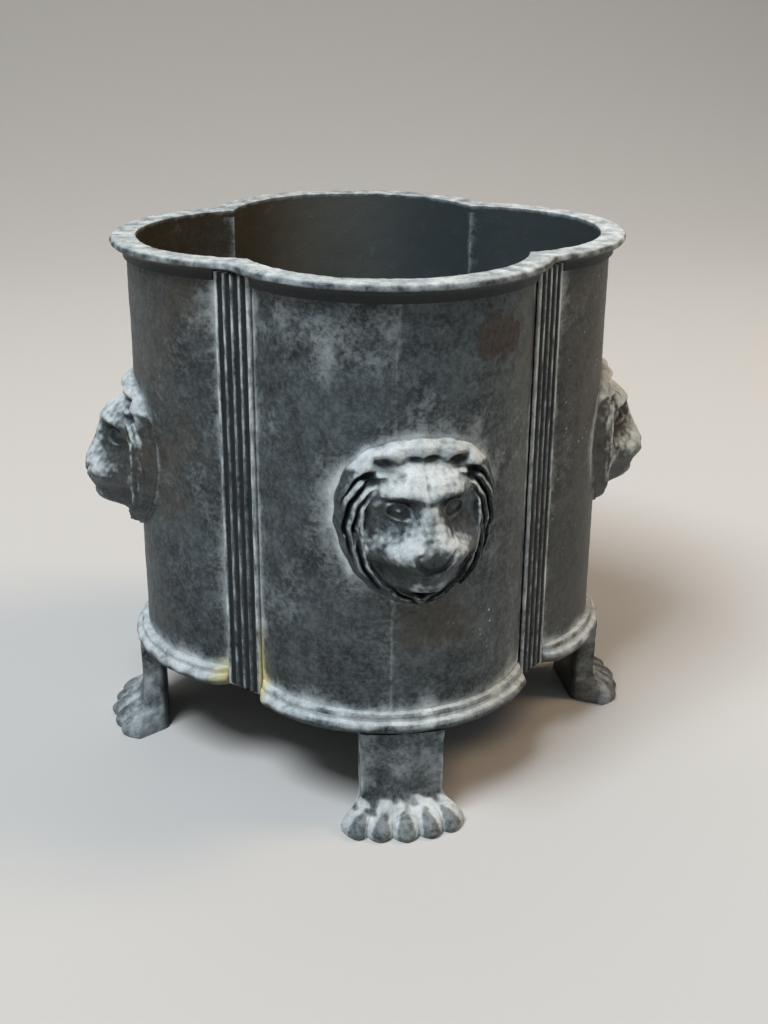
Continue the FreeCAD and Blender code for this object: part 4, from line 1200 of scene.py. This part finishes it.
def stripTree():
    group = bpy.data.node_groups.new("reededStrip", "GeometryNodeTree")
    face = group.interface
    face.new_socket(name="Geometry", in_out="OUTPUT", socket_type="NodeSocketGeometry")
    for name in ("Width", "Pitch", "Reed Half", "Reed Height", "Edge Thickness", "Wander", "Length",
                 "Bottom", "Turn"):
        face.new_socket(name=name, in_out="INPUT", socket_type="NodeSocketFloat")
    face.new_socket(name="Seed", in_out="INPUT", socket_type="NodeSocketInt")
    face.new_socket(name="Material", in_out="INPUT", socket_type="NodeSocketMaterial")
    net = Net(group)
    source = group.nodes.new("NodeGroupInput")
    given = {socket.name: Wire(net, socket) for socket in source.outputs if socket.name}
    # a sheet that wraps round the section: first the reeded face, then the back against the walls
    sheet = net.node("GeometryNodeMeshGrid", None, {
        "Size X": 1.0, "Size Y": 1.0, "Vertices X": stripShape["columns"], "Vertices Y": stripShape["rows"]})
    sheetX, sheetY = net.node("GeometryNodeInputPosition").axes()[:2]
    u = sheetX + 0.5
    v = sheetY + 0.5
    share = stripShape["frontShare"]
    isBack = u.above(share)
    frontAcross = (u / share - 0.5) * given["Width"]
    backAcross = (0.5 - (u - share) / (1 - share)) * given["Width"]
    across = frontAcross * (1 - isBack) + backAcross * isBack
    offset = plan["lobeOffset"] / math.sqrt(2)
    seat = ((plan["wallRadius"] + stripShape["seat"])**2 - (offset - abs(across))**2).root() + offset
    half = given["Width"] * 0.5
    edge = (plan["wallRadius"]**2 - (offset - half)**2).root() + offset + given["Edge Thickness"]
    shifted = across + given["Pitch"] * 10.5
    fromReed = abs(shifted.maths("MODULO", shifted, given["Pitch"]) - given["Pitch"] * 0.5)
    reed = (1 - (fromReed / given["Reed Half"]) ** 2.0).atLeast(0.0).root()
    front = edge + given["Reed Height"] * reed
    depth = front * (1 - isBack) + seat * isBack
    # the rows at both ends close to a point inside the section
    inner = (v.above(0.001)) * (1 - v.above(0.999))
    level = given["Bottom"] + given["Length"] * v
    middle = edge * 0.5 + seat * 0.5
    depth = depth * inner + middle * (1 - inner)
    across = across * inner

    def streaks(shift, stretch, settings):
        # noise drawn out along the strip
        spread = net.node("ShaderNodeCombineXYZ", None, {0: across * stretch, 2: level})
        return net.node("ShaderNodeTexNoise", {"noise_dimensions": "4D"},
                        {"W": given["Seed"] + shift, "Vector": spread, **settings})

    wander = streaks(0.0, 3.0, {"Scale": 60.0, "Detail": 2.0})
    depth = depth + (wander - 0.5) * given["Wander"] * 2.0 * (1 - isBack) * inner
    cosine = given["Turn"].maths("COSINE", given["Turn"])
    sine = given["Turn"].sine()
    place = net.node("ShaderNodeCombineXYZ", None, {0: depth * cosine - across * sine,
                                                    1: depth * sine + across * cosine, 2: level})
    # chalk on broken crests and painted shade in the channels, noted before the sheet is bent
    outerReed = abs(across).ease(*stripShape["outerReed"])
    breaks = streaks(0.5, 6.0, {"Scale": 70.0, "Detail": 4.0, "Roughness": 0.65})
    crest = reed.ease(0.55, 0.95)
    high = v.ease(0.45, 1.0)
    chalk = 0.05 + crest * (0.22 + breaks.ease(0.38, 0.62) * 0.50 + high * 0.26)
    chalk = chalk + outerReed * reed.ease(0.0, 0.3) * 0.28
    border = abs(across).ease(*stripShape["border"])
    chalk = (chalk + border * 0.5) * (1 - isBack) + isBack * 0.72
    # painted shade in the channels between the reeds
    channelShade = (1 - reed.ease(0.05, 0.75)) * (1 - isBack) * (1 - border) * (1.1 - breaks.ease(0.58, 0.72) * 0.8)
    marked = net.node("GeometryNodeStoreNamedAttribute", {"data_type": "FLOAT", "domain": "POINT"},
                      {"Geometry": sheet, "Name": "bloom", "Value": chalk})
    marked = net.node("GeometryNodeStoreNamedAttribute", {"data_type": "FLOAT", "domain": "POINT"},
                      {"Geometry": marked, "Name": "shadeAndGrime", "Value": channelShade})
    shaped = net.node("GeometryNodeSetPosition", None, {"Geometry": marked, "Position": place})
    closed = net.node("GeometryNodeMergeByDistance", None,
                      {"Geometry": shaped, "Distance": stripShape["mergeDistance"]})
    smooth = net.node("GeometryNodeSetShadeSmooth", None, {"Geometry": closed})
    whole = net.node("GeometryNodeRealizeInstances", None, {"Geometry": smooth})
    dressed = net.node("GeometryNodeSetMaterial", None, {"Geometry": whole, "Material": given["Material"]})
    sink = group.nodes.new("NodeGroupOutput")
    net.feed(sink.inputs[0], dressed)
    return group


def grown(name, group, inputs):
    # runs a geometry tree and keeps the result as a plain mesh
    holder = bpy.data.objects.new(name + "Holder", bpy.data.meshes.new(name + "Base"))
    scene.collection.objects.link(holder)
    modifier = holder.modifiers.new("grow", "NODES")
    modifier.node_group = group
    for socket in group.interface.items_tree:
        if socket.item_type == "SOCKET" and socket.in_out == "INPUT" and socket.name in inputs:
            modifier[socket.identifier] = inputs[socket.name]
    bpy.context.view_layer.update()
    mesh = bpy.data.meshes.new_from_object(holder.evaluated_get(bpy.context.evaluated_depsgraph_get()))
    bpy.data.objects.remove(holder)
    mesh.name = name
    piece = bpy.data.objects.new(name, mesh)
    scene.collection.objects.link(piece)
    return piece


reededStrip = stripTree()
for quarter, corner in enumerate(corners):
    low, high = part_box(corner + "_strip")
    strip = grown(corner.replace("_", "-") + "-strip", reededStrip, {
        "Width": stripShape["width"], "Pitch": stripShape["pitch"], "Reed Half": stripShape["reedHalf"],
        "Reed Height": stripShape["reedHeight"], "Edge Thickness": stripShape["edgeThickness"],
        "Wander": stripShape["wander"], "Length": high.z - low.z, "Bottom": low.z,
        "Turn": math.radians(90 * quarter + 45), "Seed": 70 + quarter, "Material": finishes["strip"]})
    settle(strip, [corner + "_strip"])
print("strips made")


# fixings inside and underneath keep their CAD shapes
fixings = ("strip_studs", "strip_saddles", "strip_nuts", "mask_studs", "mask_washers", "mask_nuts",
           "foot_bolts", "foot_washers", "foot_nuts")
for name in fixings:
    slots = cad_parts[name].data.materials
    slots.clear()
    slots.append(finishes["fixings"])
print("fixings dressed:", len(fixings))


# floor, light and camera
stageLook = {
    "floorHalf": 6.0,
    "bendStart": 1.25,
    "bendRadius": 1.2,
    "wallTop": 5.0,
    "floorColour": (0.60, 0.59, 0.575, 1),
    "zenithColour": (0.90, 0.94, 1.0, 1),
    "horizonColour": (0.03, 0.03, 0.03, 1),
    "worldStrength": 0.30,
    # name, place, aim, size, power, colour
    "lamps": (
        ("keyLamp", (-0.80, -0.85, 2.15), (0, 0, 0.16), 0.9, 48, (0.88, 0.95, 1.0)),
        ("warmLamp", (1.25, -0.10, 1.55), (0, 0, 0.16), 0.6, 15, (1.0, 0.72, 0.44)),
        ("backLamp", (0.1, 1.0, 2.1), (0, 0.2, 0.2), 1.2, 10, (1.0, 0.94, 0.86)),
    ),
}


def makeStage():
    # paper that lies flat and bends up behind, far away
    half, start, bend = stageLook["floorHalf"], stageLook["bendStart"], stageLook["bendRadius"]
    line = [(-half, 0)]
    for angle in np.radians(np.linspace(0, 90, 31)):
        line.append((start + bend * math.sin(angle), bend * (1 - math.cos(angle))))
    line.append((start + bend, stageLook["wallTop"]))
    points = [(x, y, z) for y, z in line for x in (-half, half)]
    mesh = bpy.data.meshes.new("floor")
    faces = [(2 * row, 2 * row + 1, 2 * row + 3, 2 * row + 2) for row in range(len(line) - 1)]
    mesh.from_pydata(points, [], faces)
    mesh.shade_smooth()
    floor = bpy.data.objects.new("floor", mesh)
    scene.collection.objects.link(floor)
    material, net = blankMaterial("floorPaper")
    shader = net.node("ShaderNodeBsdfDiffuse", None, {"Color": stageLook["floorColour"], "Roughness": 0.9})
    net.node("ShaderNodeOutputMaterial", None, {"Surface": shader})
    mesh.materials.append(material)
    world = bpy.data.worlds.new("studio")
    world.use_nodes = True
    world.node_tree.nodes.clear()
    net = Net(world.node_tree)
    height = net.node("ShaderNodeTexCoord", out="Generated").axes()[2]
    tone = net.mix(height.ease(0.0, 1.0), stageLook["horizonColour"], stageLook["zenithColour"])
    sky = net.node("ShaderNodeBackground", None, {"Color": tone, "Strength": stageLook["worldStrength"]})
    net.node("ShaderNodeOutputWorld", None, {"Surface": sky})
    scene.world = world
    for name, place, aim, size, power, colour in stageLook["lamps"]:
        lamp = bpy.data.lights.new(name, "AREA")
        lamp.size = size
        lamp.energy = power
        lamp.color = colour
        holder = bpy.data.objects.new(name, lamp)
        holder.location = place
        holder.rotation_euler = (Vector(aim) - Vector(place)).to_track_quat("-Z", "Y").to_euler()
        scene.collection.objects.link(holder)


cameraView = {
    "azimuth": -8.907,
    "elevation": 21.846,
    "distance": 0.86633,
    "sideways": 0.008924,
    "height": 0.13183,
    "roll": 0.425,
    "lens": 48.24,
}


def makeCamera():
    azimuth, elevation = math.radians(cameraView["azimuth"]), math.radians(cameraView["elevation"])
    back = Vector((math.sin(azimuth) * math.cos(elevation), -math.cos(azimuth) * math.cos(elevation),
                   math.sin(elevation)))
    right = Vector((math.cos(azimuth), math.sin(azimuth), 0))
    up = back.cross(right)
    roll = math.radians(cameraView["roll"])
    right, up = right * math.cos(roll) + up * math.sin(roll), up * math.cos(roll) - right * math.sin(roll)
    target = Vector((cameraView["sideways"] * math.cos(azimuth), cameraView["sideways"] * math.sin(azimuth),
                     cameraView["height"]))
    data = bpy.data.cameras.new("photoView")
    data.lens = cameraView["lens"]
    data.sensor_width = 36
    data.sensor_fit = "AUTO"
    camera = bpy.data.objects.new("photoView", data)
    turn = Matrix((right, up, back)).transposed().to_4x4()
    camera.matrix_world = Matrix.Translation(target + back * cameraView["distance"]) @ turn
    scene.collection.objects.link(camera)
    scene.camera = camera


makeStage()
makeCamera()
scene.view_settings.view_transform = "Standard"
print("stage, light and camera made")
